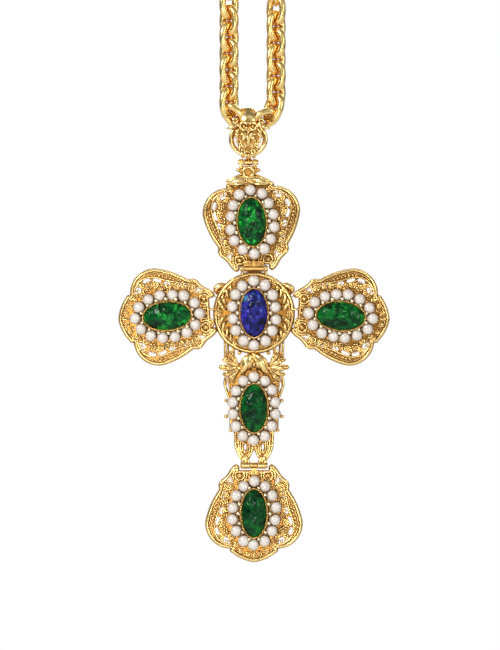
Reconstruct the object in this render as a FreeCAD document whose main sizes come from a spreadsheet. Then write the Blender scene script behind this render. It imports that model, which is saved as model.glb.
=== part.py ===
"""Pectoral cross: six pearl-ringed stone units on gilt filigree, hung by a bail from a cable chain.

Millimetres, +Z up, the front faces -Y. The origin is the hanging point under the clasp bar.
Heights in the sheet are measured from the middle of the round medallion, which lies
`hang_height` below the origin. Every hinge pin lies along X in the plane Y = 0, above the
middle of the mass that it carries.
"""
import FreeCAD
import Part

import math
import os

import Sketcher
from FreeCAD import Placement, Rotation, Vector

DIMENSIONS = {
    # frame
    "hang_height": 97.9,
    # stone unit: stone, bead-set cup, pearl tray, pearls and rivet
    "stone_wide": 4.05,
    "stone_long": 6.9,
    "stone_high": 3.5,
    "dome_over": 1.04,
    "cup_wall": 0.4,
    "cup_gap": 0.05,
    "cup_floor": 0.5,
    "cup_height": 2.2,
    "ring_wide": 6.2,
    "ring_long": 9.2,
    "tray_lip": 1.0,
    "tray_plate": 0.5,
    "pearl_radius": 1.65,
    "pearl_sink": 0.15,
    "pearl_count": 14,
    "peg_radius": 0.35,
    "peg_height": 1.1,
    "peg_gap": 0.08,
    "rivet_shank": 0.8,
    "rivet_head": 1.3,
    "rivet_head_height": 0.4,
    # places of the units
    "plate": 1.2,
    "plate_back": 1.1,
    "arm_x": 25.1,
    "arm_z": -0.9,
    "arm_droop": 4.5,
    "top_x": -0.6,
    "top_z": 26.3,
    "top_lean": 3.0,
    "shaft_z": -27.6,
    "bottom_z": -58.0,
    # arm stamping
    "arm_tip": 13.9,
    "cap_wide": 6.15,
    "cap_long": 11.0,
    "cap_radius": 12.8,
    "notch_wide": 6.5,
    "notch_long": 10.1,
    "lobe_wide": 13.8,
    "lobe_long": 2.6,
    "lobe_radius": 7.0,
    "waist_wide": 9.8,
    "waist_long": -6.7,
    "waist_radius": 23.0,
    "knob_wide": 9.7,
    "knob_long": -9.2,
    "inner_wide": 5.6,
    "inner_long": -14.1,
    "gap_wide": 4.6,
    "gap_long": -12.1,
    "slot_top_wide": 8.3,
    "slot_top_long": 7.4,
    "slot_end_wide": 11.2,
    "slot_end_long": -1.0,
    "slot_outer": 7.0,
    "slot_inner": 14.0,
    # medallion
    "disc_radius": 11.5,
    "disc_window": 0.8,
    "disc_window_ring": 9.9,
    "disc_windows": 10,
    # shaft stamping, from the middle of the medallion
    "shaft_plate": 1.0,
    "shoulder_top": 9.4,
    "shoulder_wide": 8.2,
    "shoulder_tip_wide": 11.9,
    "shoulder_tip_long": 7.3,
    "shoulder_radius": 2.6,
    "shoulder_foot": 4.2,
    "trunk_wide": 8.6,
    "trunk_end": -12.2,
    "wing_wide": 10.1,
    "wing_long": -15.8,
    "stem_wide": 6.6,
    "stem_top": -20.0,
    "stem_end": -34.0,
    "foot_wide": 4.2,
    "foot_long": -42.2,
    "foot_radius": 8.0,
    "cleft_wide": 1.2,
    "cleft_top": -40.2,
    "window_inner": 1.5,
    "window_outer": 5.5,
    "window_top": -10.5,
    "window_end": -14.4,
    # palmettes and lily on the shaft
    "leaf_plate": 1.0,
    "lily_plate": 1.3,
    # hinges
    "knuckle": 0.95,
    "pin": 0.4,
    "pin_gap": 0.05,
    "pin_head": 0.7,
    "pin_head_length": 0.3,
    "side_gap": 0.1,
    "hinge_leaf": 0.8,
    "leaf_long": 2.85,
    "solder": 0.2,
    "upper_pin_z": 12.9,
    "upper_tab": 2.9,
    "upper_lug": 0.8,
    "upper_leaf": 2.5,
    "lower_pin_z": -44.2,
    "lower_tab": 1.1,
    "lower_ear": 2.5,
    "ear_leaf": 3.2,
    "neck_pin_z": 43.7,
    "neck_tab": 1.25,
    "neck_ear": 1.3,
    # neck plaque
    "plaque_plate": 1.4,
    "plaque_top": 42.4,
    "plaque_low": 37.2,
    # bail
    "bail_x": -1.65,
    "bail_z": 50.1,
    "bail_wide": 5.6,
    "bail_high": 5.2,
    "bail_band": 0.9,
    "bail_front": -6.6,
    "bail_slope": 29.0,
    "bail_back": 2.85,
    "web_high": 2.0,
    "palmette_plate": 1.0,
    "strap_z": 55.0,
    "strap_inner": 4.2,
    "strap_band": 0.7,
    "strap_half": 1.8,
    "strap_pad": 2.2,
    # chain
    "wire": 0.83,
    "link_long": 8.4,
    "link_wide": 7.0,
    "link_pitch": 4.75,
    "cradle_z": 55.15,
    "left_x": -7.25,
    "right_x": 6.4,
    "right_rise": 25.0,
    "left_links": 7,
    "right_links": 6,
    # clasp
    "ring_wire": 0.6,
    "ring_radius": 2.5,
    "ring_flat": 0.01,
    "ring_play": 0.2,
    "clasp_bar": 0.9,
    "clasp_half": 1.7,
    "lug_plate": 0.5,
    "lug_wide": 1.6,
    "lug_hole": 1.15,
    "lug_hole_drop": 1.5,
    "catch_mouth": 0.8,
    "lever_plate": 0.8,
    "lever_lift": 0.3,
    "lever_nose": 3.6,
    "clasp_knuckle": 0.9,
}

DOC = FreeCAD.newDocument("pectoral_cross")
SHEET = DOC.addObject("Spreadsheet::Sheet", "dims")
NODES = {}
FRONT = Vector(0, -1, 0)
ACROSS = Vector(1, 0, 0)


def fill_sheet():
    for row, (alias, value) in enumerate(DIMENSIONS.items(), start=1):
        SHEET.set(f"A{row}", alias)
        SHEET.set(f"B{row}", str(value))
        SHEET.setAlias(f"B{row}", alias)
    DOC.recompute()


def size(alias):
    return float(SHEET.get(alias))


def bound(text):
    """Writes an expression over the sheet: every alias in it gets the sheet's name."""
    words = "".join(c if c.isalnum() or c == "_" else " " for c in text).split()
    for word in sorted(set(words) & set(DIMENSIONS), key=len, reverse=True):
        text = replace_word(text, word, f"dims.{word}")
    return text


def replace_word(text, word, new):
    parts = []
    start = 0
    while True:
        found = text.find(word, start)
        if found < 0:
            parts.append(text[start:])
            return "".join(parts)
        before = text[found - 1] if found else " "
        after = text[found + len(word)] if found + len(word) < len(text) else " "
        alone = not (before.isalnum() or before in "_.") and not (after.isalnum() or after == "_")
        parts.append(text[start:found])
        parts.append(new if alone else word)
        start = found + len(word)


def number(text):
    return float(SHEET.evalExpression(bound(str(text))))


def bind(obj, **properties):
    for name, text in properties.items():
        obj.setExpression(name, bound(str(text)))
    return obj


def add(kind, **properties):
    """A Part primitive whose sizes follow the sheet."""
    return bind(DOC.addObject(f"Part::{kind}", kind.lower()), **properties)


def boolean(kind, base, tool):
    obj = DOC.addObject(f"Part::{kind}", kind.lower())
    obj.Base = base
    obj.Tool = tool
    return obj


def fused(shapes):
    obj = DOC.addObject("Part::MultiFuse", "fuse")
    obj.Shapes = shapes
    return obj


def node(name, obj, x=0.0, y=0.0, z=0.0, turn=0.0):
    """Names a sub-part and places it: x, y, z from the medallion's middle, turned about Y."""
    obj.Label = name
    obj.Placement = Placement(Vector(x, y, z - size("hang_height")), Rotation(Vector(0, 1, 0), turn))
    NODES[name] = obj
    return obj


# ---- building blocks -------------------------------------------------------------------------


def box(x, y, z):
    """A block between the given pairs of expressions along X, Y and Z."""
    obj = add("Box", Length=f"({x[1]}) - ({x[0]})", Width=f"({y[1]}) - ({y[0]})",
              Height=f"({z[1]}) - ({z[0]})")
    obj.Placement.Base = Vector(number(x[0]), number(y[0]), number(z[0]))
    return obj


def barrel(radius, x, z, y=0):
    """A cylinder along X between the two expressions in x."""
    obj = add("Cylinder", Radius=radius, Height=f"({x[1]}) - ({x[0]})")
    obj.Placement = Placement(Vector(number(x[0]), number(y), number(z)), Rotation(Vector(0, 1, 0), 90))
    return obj


def post(radius, y, x=0, z=0):
    """A cylinder along Y between the two expressions in y."""
    obj = add("Cylinder", Radius=radius, Height=f"({y[1]}) - ({y[0]})")
    obj.Placement = Placement(Vector(number(x), number(y[1]), number(z)), Rotation(ACROSS, 90))
    return obj


def oval(wide, high, back, depth):
    """An upright oval plate from Y = back forward by depth, taller than wide or wider than tall."""
    tall = number(high) >= number(wide)
    ellipse = add("Ellipse", MajorRadius=high if tall else wide, MinorRadius=wide if tall else high)
    upright = Rotation(Vector(0, 0, 1), ACROSS, Vector(0, 1, 0), "ZXY")
    ellipse.Placement.Rotation = upright if tall else Rotation(ACROSS, 90)
    solid = DOC.addObject("Part::Extrusion", "oval")
    solid.Base = ellipse
    solid.DirMode = "Custom"
    solid.Dir = FRONT
    solid.Solid = True
    bind(solid, LengthFwd=depth)
    solid.Placement.Base = Vector(0, number(back), 0)
    return solid


def sketch_on(body, role, name):
    plane = next(f for f in body.Origin.OriginFeatures if f.Role == role)
    sketch = body.newObject("Sketcher::SketchObject", name)
    sketch.AttachmentSupport = [(plane, "")]
    sketch.MapMode = "FlatFace"
    return sketch


def arc_through(start, end, radius):
    """The arc from start to end that bulges to the left of its run for a positive radius."""
    chord = end - start
    half = chord.Length / 2
    rise = math.sqrt(radius * radius - half * half)
    left = Vector(-chord.y, chord.x, 0).normalize() * math.copysign(1, radius)
    centre = (start + end) * 0.5 - left * rise
    return Part.Arc(start, centre + left * abs(radius), end)


def closed_outline(sketch, corners):
    """A closed chain of (x, y, radius): the radius, or None, is of the edge that leads there.

    Each corner and each radius is bound to the sheet."""
    spots = [Vector(number(x), number(y), 0) for x, y, _ in corners]
    first = sketch.GeometryCount
    count = len(corners)
    ends = []
    for i, (_, _, radius) in enumerate(corners):
        start, end = spots[i - 1], spots[i]
        if radius is None:
            sketch.addGeometry(Part.LineSegment(start, end), False)
            ends.append((1, 2))
            continue
        sketch.addGeometry(arc_through(start, end, number(radius)), False)
        forward = sketch.getPoint(first + i, 1).distanceToPoint(start) < 1e-6
        ends.append((1, 2) if forward else (2, 1))
    for i in range(count):
        after = (i + 1) % count
        sketch.addConstraint(
            Sketcher.Constraint("Coincident", first + i, ends[i][1], first + after, ends[after][0]))
    for i, (x, y, radius) in enumerate(corners):
        for kind, text, value, axis in (("DistanceX", x, spots[i].x, -2), ("DistanceY", y, spots[i].y, -1)):
            if abs(value) < 1e-9:
                sketch.addConstraint(
                    Sketcher.Constraint("PointOnObject", first + i, ends[i][1], axis))
                continue
            index = sketch.addConstraint(
                Sketcher.Constraint(kind, -1, 1, first + i, ends[i][1], value))
            sketch.setExpression(f"Constraints[{index}]", bound(str(text)))
        if radius is not None:
            index = sketch.addConstraint(
                Sketcher.Constraint("Radius", first + i, abs(number(radius))))
            sketch.setExpression(f"Constraints[{index}]", f"abs({bound(str(radius))})")


def circle_in(sketch, radius, x=0, y=0):
    """A circle in a sketch, its radius and middle bound to the sheet."""
    spot = Vector(number(x), number(y), 0)
    index = sketch.addGeometry(Part.Circle(spot, Vector(0, 0, 1), number(radius)), False)
    place = sketch.addConstraint(Sketcher.Constraint("Radius", index, number(radius)))
    sketch.setExpression(f"Constraints[{place}]", bound(str(radius)))
    if spot.Length < 1e-9:
        sketch.addConstraint(Sketcher.Constraint("Coincident", index, 3, -1, 1))
        return
    for kind, text, value in (("DistanceX", x, spot.x), ("DistanceY", y, spot.y)):
        place = sketch.addConstraint(Sketcher.Constraint(kind, -1, 1, index, 3, value))
        sketch.setExpression(f"Constraints[{place}]", bound(str(text)))


def mirrored(half):
    """The whole outline from its right half, which starts on the middle line and may end there."""
    left = [(f"-({half[i][0]})", half[i][1], half[i + 1][2]) for i in range(len(half) - 2, 0, -1)]
    if number(half[-1][0]) > 0:
        left.insert(0, (f"-({half[-1][0]})", half[-1][1], None))
    top = (half[0][0], half[0][1], half[1][2])
    return [top] + list(half[1:]) + left


def flipped(corners):
    """The same closed chain on the other side of the middle, run the other way round."""
    turned = []
    for i in range(len(corners) - 1, -1, -1):
        x, y, _ = corners[i]
        turned.append((f"-({x})", y, corners[(i + 1) % len(corners)][2]))
    return turned


def plate(name, outlines, holes, depth):
    """An upright plate cut from sheet: outlines and round holes in one sketch, padded to the front."""
    body = DOC.addObject("PartDesign::Body", name)
    sketch = sketch_on(body, "XZ_Plane", f"{name}_outline")
    for corners in outlines:
        closed_outline(sketch, corners)
    for hole in holes:
        circle_in(sketch, *hole)
    pad = body.newObject("PartDesign::Pad", f"{name}_pad")
    pad.Profile = sketch
    bind(pad, Length=depth)
    body.Tip = pad
    sketch.Visibility = False
    return body


def turned_body(name, corners):
    """A body turned about the Y axis: corners give radius and depth."""
    body = DOC.addObject("PartDesign::Body", name)
    sketch = sketch_on(body, "XY_Plane", f"{name}_profile")
    closed_outline(sketch, [(x, y, None) for x, y in corners])
    turn = body.newObject("PartDesign::Revolution", f"{name}_turn")
    turn.Profile = sketch
    turn.ReferenceAxis = (sketch, ["V_Axis"])
    turn.Angle = 360.0
    body.Tip = turn
    return body


def copies(name, master, places, x=0.0, y=0.0, z=0.0, turn=0.0):
    """A node that is a group of equal separate solids."""
    DOC.recompute()
    group = DOC.addObject("Part::Feature", name)
    solids = []
    for place in places:
        solid = master.Shape.copy()
        solid.Placement = place.multiply(solid.Placement)
        solids.append(solid)
    group.Shape = Part.makeCompound(solids)
    return node(name, group, x, y, z, turn)


# ---- stone units -----------------------------------------------------------------------------


def ring_places():
    """The pearls' middles (x, z): equal steps along the oval, the first at its upper end."""
    steps = 720
    wide, long_ = size("ring_wide"), size("ring_long")
    path = [(wide * math.sin(2 * math.pi * i / steps), long_ * math.cos(2 * math.pi * i / steps))
            for i in range(steps + 1)]
    travelled = [0.0]
    for a, b in zip(path, path[1:]):
        travelled.append(travelled[-1] + math.dist(a, b))
    count = int(size("pearl_count"))
    return [next(p for p, d in zip(path, travelled) if d >= travelled[-1] * i / count - 1e-9)
            for i in range(count)]


def make_stone():
    """A cabochon: an oval blank under a dome that is a little wider, so it keeps a low girdle."""
    blank = oval("stone_wide", "stone_long", 0, "stone_high")
    dome = add("Ellipsoid", Radius1="stone_long * dome_over", Radius2="stone_wide * dome_over",
               Radius3="stone_high")
    return boolean("Common", blank, dome)


def make_setting():
    outer = oval("stone_wide + cup_gap + cup_wall", "stone_long + cup_gap + cup_wall", 0, "cup_height")
    inner = oval("stone_wide + cup_gap", "stone_long + cup_gap", "-cup_floor", "cup_height")
    hole = post("rivet_shank", ("-cup_height", "cup_height"))
    return boolean("Cut", boolean("Cut", outer, inner), hole)


def make_tray(pegs):
    flat = oval("ring_wide + tray_lip", "ring_long + tray_lip", 0, "tray_plate")
    hole = post("rivet_shank", ("-cup_height", "cup_height"))
    return boolean("Cut", fused([flat, pegs]), hole)


def make_pearl():
    """A half-drilled pearl with a small flat where it stands, its base in the plane Y = 0."""
    ball = add("Sphere", Radius="pearl_radius")
    ball.Placement.Base = Vector(0, -size("pearl_radius") + size("pearl_sink"), 0)
    front = box(("-2 * pearl_radius", "2 * pearl_radius"), ("-3 * pearl_radius", 0),
                ("-2 * pearl_radius", "2 * pearl_radius"))
    bore = post("peg_radius + peg_gap", ("-peg_height - peg_gap", 1))
    return boolean("Cut", boolean("Common", ball, front), bore)


def make_rivet(name, thickness):
    """A round rivet through plate, tray and cup, its back head at Y = 0 and above."""
    grip = f"({thickness} + tray_plate + cup_floor)"
    return turned_body(name, [
        (0, "rivet_head_height"), ("rivet_head", "rivet_head_height"), ("rivet_head", 0),
        ("rivet_shank", 0), ("rivet_shank", f"-{grip}"), ("rivet_head", f"-{grip}"),
        ("rivet_head", f"-{grip} - rivet_head_height"), (0, f"-{grip} - rivet_head_height")])


ARM_HALF = [
    (0, "arm_tip", None),
    ("cap_wide", "cap_long", "cap_radius"),
    ("notch_wide", "notch_long", None),
    ("lobe_wide", "lobe_long", "lobe_radius"),
    ("waist_wide", "waist_long", "waist_radius"),
    ("knob_wide", "knob_long", None),
    ("inner_wide", "inner_long", None),
    ("gap_wide", "inner_long", None),
    ("gap_wide", "gap_long", None),
]
ARM_SLOT = [("slot_top_wide", "slot_top_long", "-slot_inner"),
            ("slot_end_wide", "slot_end_long", "slot_outer")]


def make_arm_plate(name):
    return plate(name, [mirrored(ARM_HALF), ARM_SLOT, flipped(ARM_SLOT)], [("rivet_shank",)], "plate")


def make_disc(name):
    """The round stamping, with a ring of small windows."""
    body = plate(name, [], [("disc_radius",), ("rivet_shank",)], "plate")
    DOC.recompute()
    whole = body.Shape.Volume
    sketch = sketch_on(body, "XZ_Plane", f"{name}_window")
    circle_in(sketch, "disc_window", 0, "disc_window_ring")
    pocket = body.newObject("PartDesign::Pocket", f"{name}_pocket")
    pocket.Profile = sketch
    pocket.Type = 1
    pocket.Midplane = True
    pattern = body.newObject("PartDesign::PolarPattern", f"{name}_pattern")
    pattern.Originals = [pocket]
    pattern.Axis = (sketch, ["N_Axis"])
    pattern.Angle = 360.0
    pattern.Occurrences = int(size("disc_windows"))
    body.Tip = pattern
    DOC.recompute()
    windows = size("disc_windows") * math.pi * size("disc_window") ** 2 * size("plate")
    if abs(whole - windows - body.Shape.Volume) > 0.01 * windows:
        raise SystemExit(f"{name}: the windows are not all cut")
    return body


SHAFT_HALF = [
    (0, "shoulder_top", None),
    ("shoulder_wide", "shoulder_top", None),
    ("shoulder_tip_wide", "shoulder_tip_long", "shoulder_radius"),
    ("trunk_wide", "shoulder_foot", None),
    ("trunk_wide", "trunk_end", None),
    ("wing_wide", "wing_long", None),
    ("stem_wide", "stem_top", None),
    ("stem_wide", "stem_end", None),
    ("foot_wide", "foot_long", "foot_radius"),
    ("cleft_wide", "foot_long", None),
    (0, "cleft_top", None),
]
SHAFT_WINDOW = [("window_inner", "window_top", None), ("window_outer", "window_top", None),
                ("window_outer", "window_end", None), ("window_inner", "window_end", None)]


def make_shaft_plate(name):
    """The long stamping, its back face kept flat by a sunk seat for the rivet's head."""
    sheet = plate(name, [mirrored(SHAFT_HALF), SHAFT_WINDOW, flipped(SHAFT_WINDOW)],
                  [("rivet_shank", 0, "shaft_z"), ("rivet_head + side_gap",)], "shaft_plate")
    seat = post("rivet_head", ("-rivet_head_height", "rivet_head_height"), 0, "shaft_z")
    return boolean("Cut", sheet, seat)


def make_units():
    """Places the six stone units; the shaft's plate lies behind the others."""
    back = size("plate_back")
    arm_x, arm_z, droop = size("arm_x"), size("arm_z"), size("arm_droop")
    behind = back + size("shaft_plate")
    units = {
        "top": (size("top_x"), back, size("top_z"), -size("top_lean"), make_arm_plate),
        "left": (-arm_x, back, arm_z, -90 - droop, make_arm_plate),
        "right": (arm_x, back, arm_z, 90 + droop, make_arm_plate),
        "bottom": (0, back, size("bottom_z"), 180, make_arm_plate),
        "medallion": (0, back, 0, 0, make_disc),
        "shaft": (0, behind, size("shaft_z"), 0, None),
    }
    places = ring_places()
    pearl = make_pearl()
    peg = post("peg_radius", ("-peg_height - tray_plate", "-tray_plate"))
    around = [Placement(Vector(x, 0, z), Rotation()) for x, z in places]
    DOC.recompute()
    pegs = DOC.addObject("Part::Feature", "pegs")
    pegs.Shape = Part.makeCompound([peg.Shape.translated(p.Base) for p in around])
    rivets = {}
    for name, (x, y, z, turn, maker) in units.items():
        thick = size("plate") if name != "shaft" else size("shaft_plate")
        front = y - thick
        if maker is make_arm_plate and name in ("left", "right"):
            stamping = cut_to_disc(maker(f"{name}_stamping"), x, z, turn)
            node(f"{name}_filigree", stamping, x, y, z, turn)
        elif maker:
            node(f"{name}_filigree", maker(f"{name}_filigree"), x, y, z, turn)
        else:
            node("shaft_filigree", make_shaft_plate("shaft_stamping"), 0, y, 0)
        node(f"{name}_tray", make_tray(pegs), x, front, z, turn)
        copies(f"{name}_pearls", pearl, around, x, front - size("tray_plate"), z, turn)
        seat = front - size("tray_plate")
        node(f"{name}_setting", make_setting(), x, seat, z, turn)
        rest = seat - size("cup_floor") - size("rivet_head_height") - 2 * size("cup_gap")
        node(f"{name}_stone", make_stone(), x, rest, z, turn)
        rivets[name] = Placement(Vector(x, y, z), Rotation(Vector(0, 1, 0), turn))
    for name in ("top", "bottom"):
        spot = rivets[name].Base
        node(f"{name}_rivet", make_rivet(f"{name}_rivet", "plate"), spot.x, spot.y, spot.z)
    master = make_rivet("rivet_pattern", "plate")
    copies("centre_rivets", master, [rivets[n] for n in ("left", "right", "medallion")])
    spot = rivets["shaft"].Base
    sunk = spot.y - size("rivet_head_height")
    node("shaft_rivet", make_rivet("shaft_rivet", "shaft_plate - rivet_head_height"), spot.x, sunk, spot.z)


def cut_to_disc(body, x, z, turn):
    """An arm's stamping with its inner end trimmed to the medallion's round edge."""
    edge = post("disc_radius", ("-2 * plate", "plate"))
    inverse = Placement(Vector(x, 0, z), Rotation(Vector(0, 1, 0), turn)).inverse()
    edge.Placement = inverse.multiply(edge.Placement)
    return boolean("Cut", body, edge)


# ---- ornaments of the shaft ------------------------------------------------------------------

# Outlines of the cast leaves, from the medallion's middle: across, up, radius of the edge.
PALMETTE = [(3.1, -12.6, None), (7.6, -12.1, -3.6), (8.6, -13.4, -1.2), (10.3, -15.0, -1.6),
            (9.0, -17.0, -1.6), (6.6, -17.2, -1.6), (4.6, -16.4, None), (3.1, -16.2, None)]
LILY_HALF = [(0, -12.2, None), (2.5, -11.9, None), (2.6, -14.6, -2.6), (1.4, -16.2, None), (0, -15.8, None)]


def clockwise(corners):
    """The same chain with its arcs bulging outwards when run clockwise."""
    return [(x, y, None if radius is None else -radius) for x, y, radius in corners]


def make_shaft_ornaments():
    front = size("plate_back")
    right = clockwise(PALMETTE)
    node("shaft_palmette_right", plate("palmette_right", [right], [], "leaf_plate"), 0, front, 0)
    node("shaft_palmette_left", plate("palmette_left", [flipped(right)], [], "leaf_plate"), 0, front, 0)
    lily = mirrored(clockwise(LILY_HALF))
    node("shaft_lily", plate("lily", [lily], [], "lily_plate"), 0, front, 0)


# ---- hinges ----------------------------------------------------------------------------------


def pin_along_x(name, x, middle_x, z):
    """A pin along X between the two expressions, with a head at each end."""
    body = DOC.addObject("PartDesign::Body", name)
    sketch = sketch_on(body, "XY_Plane", f"{name}_profile")
    left, right = x
    closed_outline(sketch, [
        (f"({left}) - pin_head_length", 0, None), (f"({left}) - pin_head_length", "pin_head", None),
        (left, "pin_head", None), (left, "pin", None), (right, "pin", None), (right, "pin_head", None),
        (f"({right}) + pin_head_length", "pin_head", None), (f"({right}) + pin_head_length", 0, None)])
    turn = body.newObject("PartDesign::Revolution", f"{name}_turn")
    turn.Profile = sketch
    turn.ReferenceAxis = (sketch, ["H_Axis"])
    turn.Angle = 360.0
    body.Tip = turn
    return node(name, body, number(middle_x), 0, number(z))


def drilled(shape, x):
    """Drills the pin's hole along X through a hinge part, between the two expressions."""
    return boolean("Cut", shape, barrel("pin + pin_gap", x, 0))


LEAF_DEPTH = ("plate_back - plate - hinge_leaf", "plate_back - plate")


def make_upper_hinge():
    """The top arm's folded tab turns between two lugs on the medallion."""
    z = size("upper_pin_z")
    tab = ("-upper_tab", "upper_tab")
    leaf = box(tab, LEAF_DEPTH, (0, "upper_leaf"))
    node("top_hinge_tab", drilled(fused([barrel("knuckle", tab, 0), leaf]), tab), 0, 0, z)
    lugs = []
    for side in (-1, 1):
        inner, outer = "upper_tab + side_gap", "upper_tab + side_gap + upper_lug"
        span = (inner, outer) if side > 0 else (f"-({outer})", f"-({inner})")
        foot = box(span, LEAF_DEPTH, ("-leaf_long", 0))
        lugs.append(drilled(fused([barrel("knuckle", span, 0), foot]), span))
    node("medallion_hinge_lugs", fused(lugs), 0, 0, z)
    reach = "upper_tab + side_gap + upper_lug"
    pin_along_x("upper_hinge_pin", (f"-({reach})", reach), 0, z)


def make_lower_hinge():
    """The bottom arm's tab turns between the two ears at the foot of the shaft."""
    z = size("lower_pin_z")
    tab = ("-lower_tab", "lower_tab")
    leaf = box(tab, LEAF_DEPTH, ("-leaf_long", 0))
    node("bottom_hinge_tab", drilled(fused([barrel("knuckle", tab, 0), leaf]), tab), 0, 0, z)
    ears = []
    for side in (-1, 1):
        inner, outer = "lower_tab + side_gap", "lower_tab + side_gap + lower_ear"
        span = (inner, outer) if side > 0 else (f"-({outer})", f"-({inner})")
        arm = box(span, (0, "plate_back"), ("-knuckle / 3", "knuckle"))
        leaf = box(span, ("plate_back - leaf_plate", "plate_back"), (0, "ear_leaf"))
        ears.append(drilled(fused([barrel("knuckle", span, 0), arm, leaf]), span))
    node("lower_hinge_ears", fused(ears), 0, 0, z)
    reach = "lower_tab + side_gap + lower_ear"
    pin_along_x("lower_hinge_pin", (f"-({reach})", reach), 0, z)


PLAQUE_HALF = [
    (0, "plaque_top", None), (2.7, "plaque_top", None), (3.4, 41.4, -0.9), (2.6, 40.5, -0.9),
    (6.2, 38.4, 6.0), (5.6, 37.7, None), (0, "plaque_low", None)]


def make_neck():
    """The shield plaque on the top arm, with the two knuckles that carry it from the bail."""
    x, z = size("bail_x"), size("neck_pin_z")
    shield = plate("shield", [mirrored(clockwise(PLAQUE_HALF))], [], "plaque_plate")
    shield.Placement.Base = Vector(0, size("plate_back") - size("plate"), -z)
    pieces = [shield]
    inner, outer = "neck_tab + side_gap", "neck_tab + side_gap + neck_ear"
    for span in ((inner, outer), (f"-({outer})", f"-({inner})")):
        pieces.append(barrel("knuckle", span, 0))
        pieces.append(box(span, ("-knuckle / 2", "knuckle / 2"), ("plaque_top - neck_pin_z - solder", 0)))
    reach = ("-6 * knuckle", "6 * knuckle")
    node("neck_plaque", drilled(fused(pieces), reach), x, 0, z)
    pin_along_x("neck_pin", (f"-({outer})", outer), x, z)


# ---- bail ------------------------------------------------------------------------------------


def make_collar():
    """The bail's oval ring: deep at its foot, shallow at its top where the chain passes behind."""
    depth = "bail_back - bail_front"
    outer = oval("bail_wide", "bail_high", "bail_back", depth)
    inner = oval("bail_wide - bail_band", "bail_high - bail_band", "bail_back", depth)
    tube = boolean("Cut", outer, inner)
    behind = box(("-2 * bail_wide", "2 * bail_wide"), (0, "4 * bail_wide"),
                 ("-4 * bail_high", "4 * bail_high"))
    at_top = size("strap_inner") + size("strap_band")
    behind.Placement = Placement(Vector(-2 * size("bail_wide"), -at_top, size("bail_high")),
                                 Rotation(ACROSS, size("bail_slope")))
    behind.Placement = behind.Placement.multiply(
        Placement(Vector(0, 0, -4 * size("bail_high")), Rotation()))
    return boolean("Cut", tube, behind)


# The bail's leaf, from the middle of the ring.
PALMETTE_HALF = [
    (0, 4.5, None), (2.0, 4.1, -1.8), (3.8, 5.3, -1.9), (4.6, 4.3, -0.8), (6.3, 3.1, None),
    (6.0, 2.2, None), (3.9, 1.5, None), (3.4, -1.0, -2.4), (1.6, -2.6, None), (1.6, -5.1, None),
    (0, -5.1, None)]


def make_bail():
    x, z = size("bail_x"), size("bail_z")
    collar = make_collar()
    ornament = plate("palmette", [mirrored(clockwise(PALMETTE_HALF))], [], "palmette_plate")
    node("bail_palmette", ornament, x, size("bail_front"), z)
    # the strap that goes over the chain, with a flat pad soldered to the ring
    half = ("-strap_half", "strap_half")
    reach = "strap_inner + strap_band"
    pad = box(half, (f"-({reach})", "-strap_inner + solder"), ("-strap_pad", "strap_pad"))
    band = fused([barrel(reach, half, 0), pad])
    loop = boolean("Cut", band, barrel("strap_inner", half, 0))
    lift = size("strap_z") - z
    node("bail_strap", clear_of(loop, collar, Vector(0, 0, -lift)), x, 0, size("strap_z"))
    # the knuckle under the ring
    tab = ("-neck_tab", "neck_tab")
    drop = size("neck_pin_z") - z
    web = box(tab, ("-hinge_leaf", "hinge_leaf"), (0, "web_high"))
    knuckle = drilled(fused([barrel("knuckle", tab, 0), web]), tab)
    filled = oval("bail_wide", "bail_high", "bail_back", "bail_back - bail_front")
    node("bail_knuckle", clear_of(knuckle, filled, Vector(0, 0, -drop)), x, 0, size("neck_pin_z"))
    node("bail_ring", collar, x, 0, z)


def clear_of(shape, other, shift):
    """Cuts from a shape what another object, moved by shift, already holds."""
    DOC.recompute()
    tool = DOC.addObject("Part::Feature", "clearance")
    tool.Shape = other.Shape.translated(shift)
    return boolean("Cut", shape, tool)


# ---- chain and clasp -------------------------------------------------------------------------


def make_link(long_, wide, wire):
    """A closed oval link, long along Z and wide along X."""
    bend = f"({wide}) / 2 - ({wire})"
    straight = f"(({long_}) - ({wide})) / 2"
    pieces = []
    for side in (-1, 1):
        end = add("Torus", Radius1=bend, Radius2=wire)
        end.Angle3 = 180
        flip = Rotation(ACROSS, 90) if side > 0 else Rotation(ACROSS, -90)
        end.Placement = Placement(Vector(0, 0, side * number(straight)), flip)
        pieces.append(end)
        leg = add("Cylinder", Radius=wire, Height=f"2 * ({straight})")
        leg.Placement.Base = Vector(side * number(bend), 0, -number(straight))
        pieces.append(leg)
    return fused(pieces)


def link_place(start, end, turn):
    """Where a link goes that hangs between two bearing points, rolled about its length."""
    lean = Rotation(Vector(0, 0, 1), end - start)
    return Placement((start + end) * 0.5, lean.multiply(Rotation(Vector(0, 0, 1), turn)))


def chain_points():
    """The points where link bears on link, from the clasp down the left strand and up the right."""
    pitch = size("link_pitch")
    left = Vector(size("bail_x") - pitch / 2, 0, size("cradle_z"))
    right = Vector(size("bail_x") + pitch / 2, 0, size("cradle_z"))
    lift = math.sqrt(pitch ** 2 - (left.x - size("left_x")) ** 2)
    left_foot = Vector(size("left_x"), 0, left.z + lift)
    rise = math.radians(size("right_rise"))
    knee = right + Vector(pitch * math.cos(rise), 0, pitch * math.sin(rise))
    lift = math.sqrt(pitch ** 2 - (size("right_x") - knee.x) ** 2)
    right_foot = Vector(size("right_x"), 0, knee.z + lift)
    up = Vector(0, 0, pitch)
    left_strand = [left_foot + up * i for i in range(int(size("left_links")), 0, -1)]
    right_strand = [right_foot + up * i for i in range(1, int(size("right_links")) + 1)]
    return left_strand, [left_foot, left, right, knee, right_foot], right_strand


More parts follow.
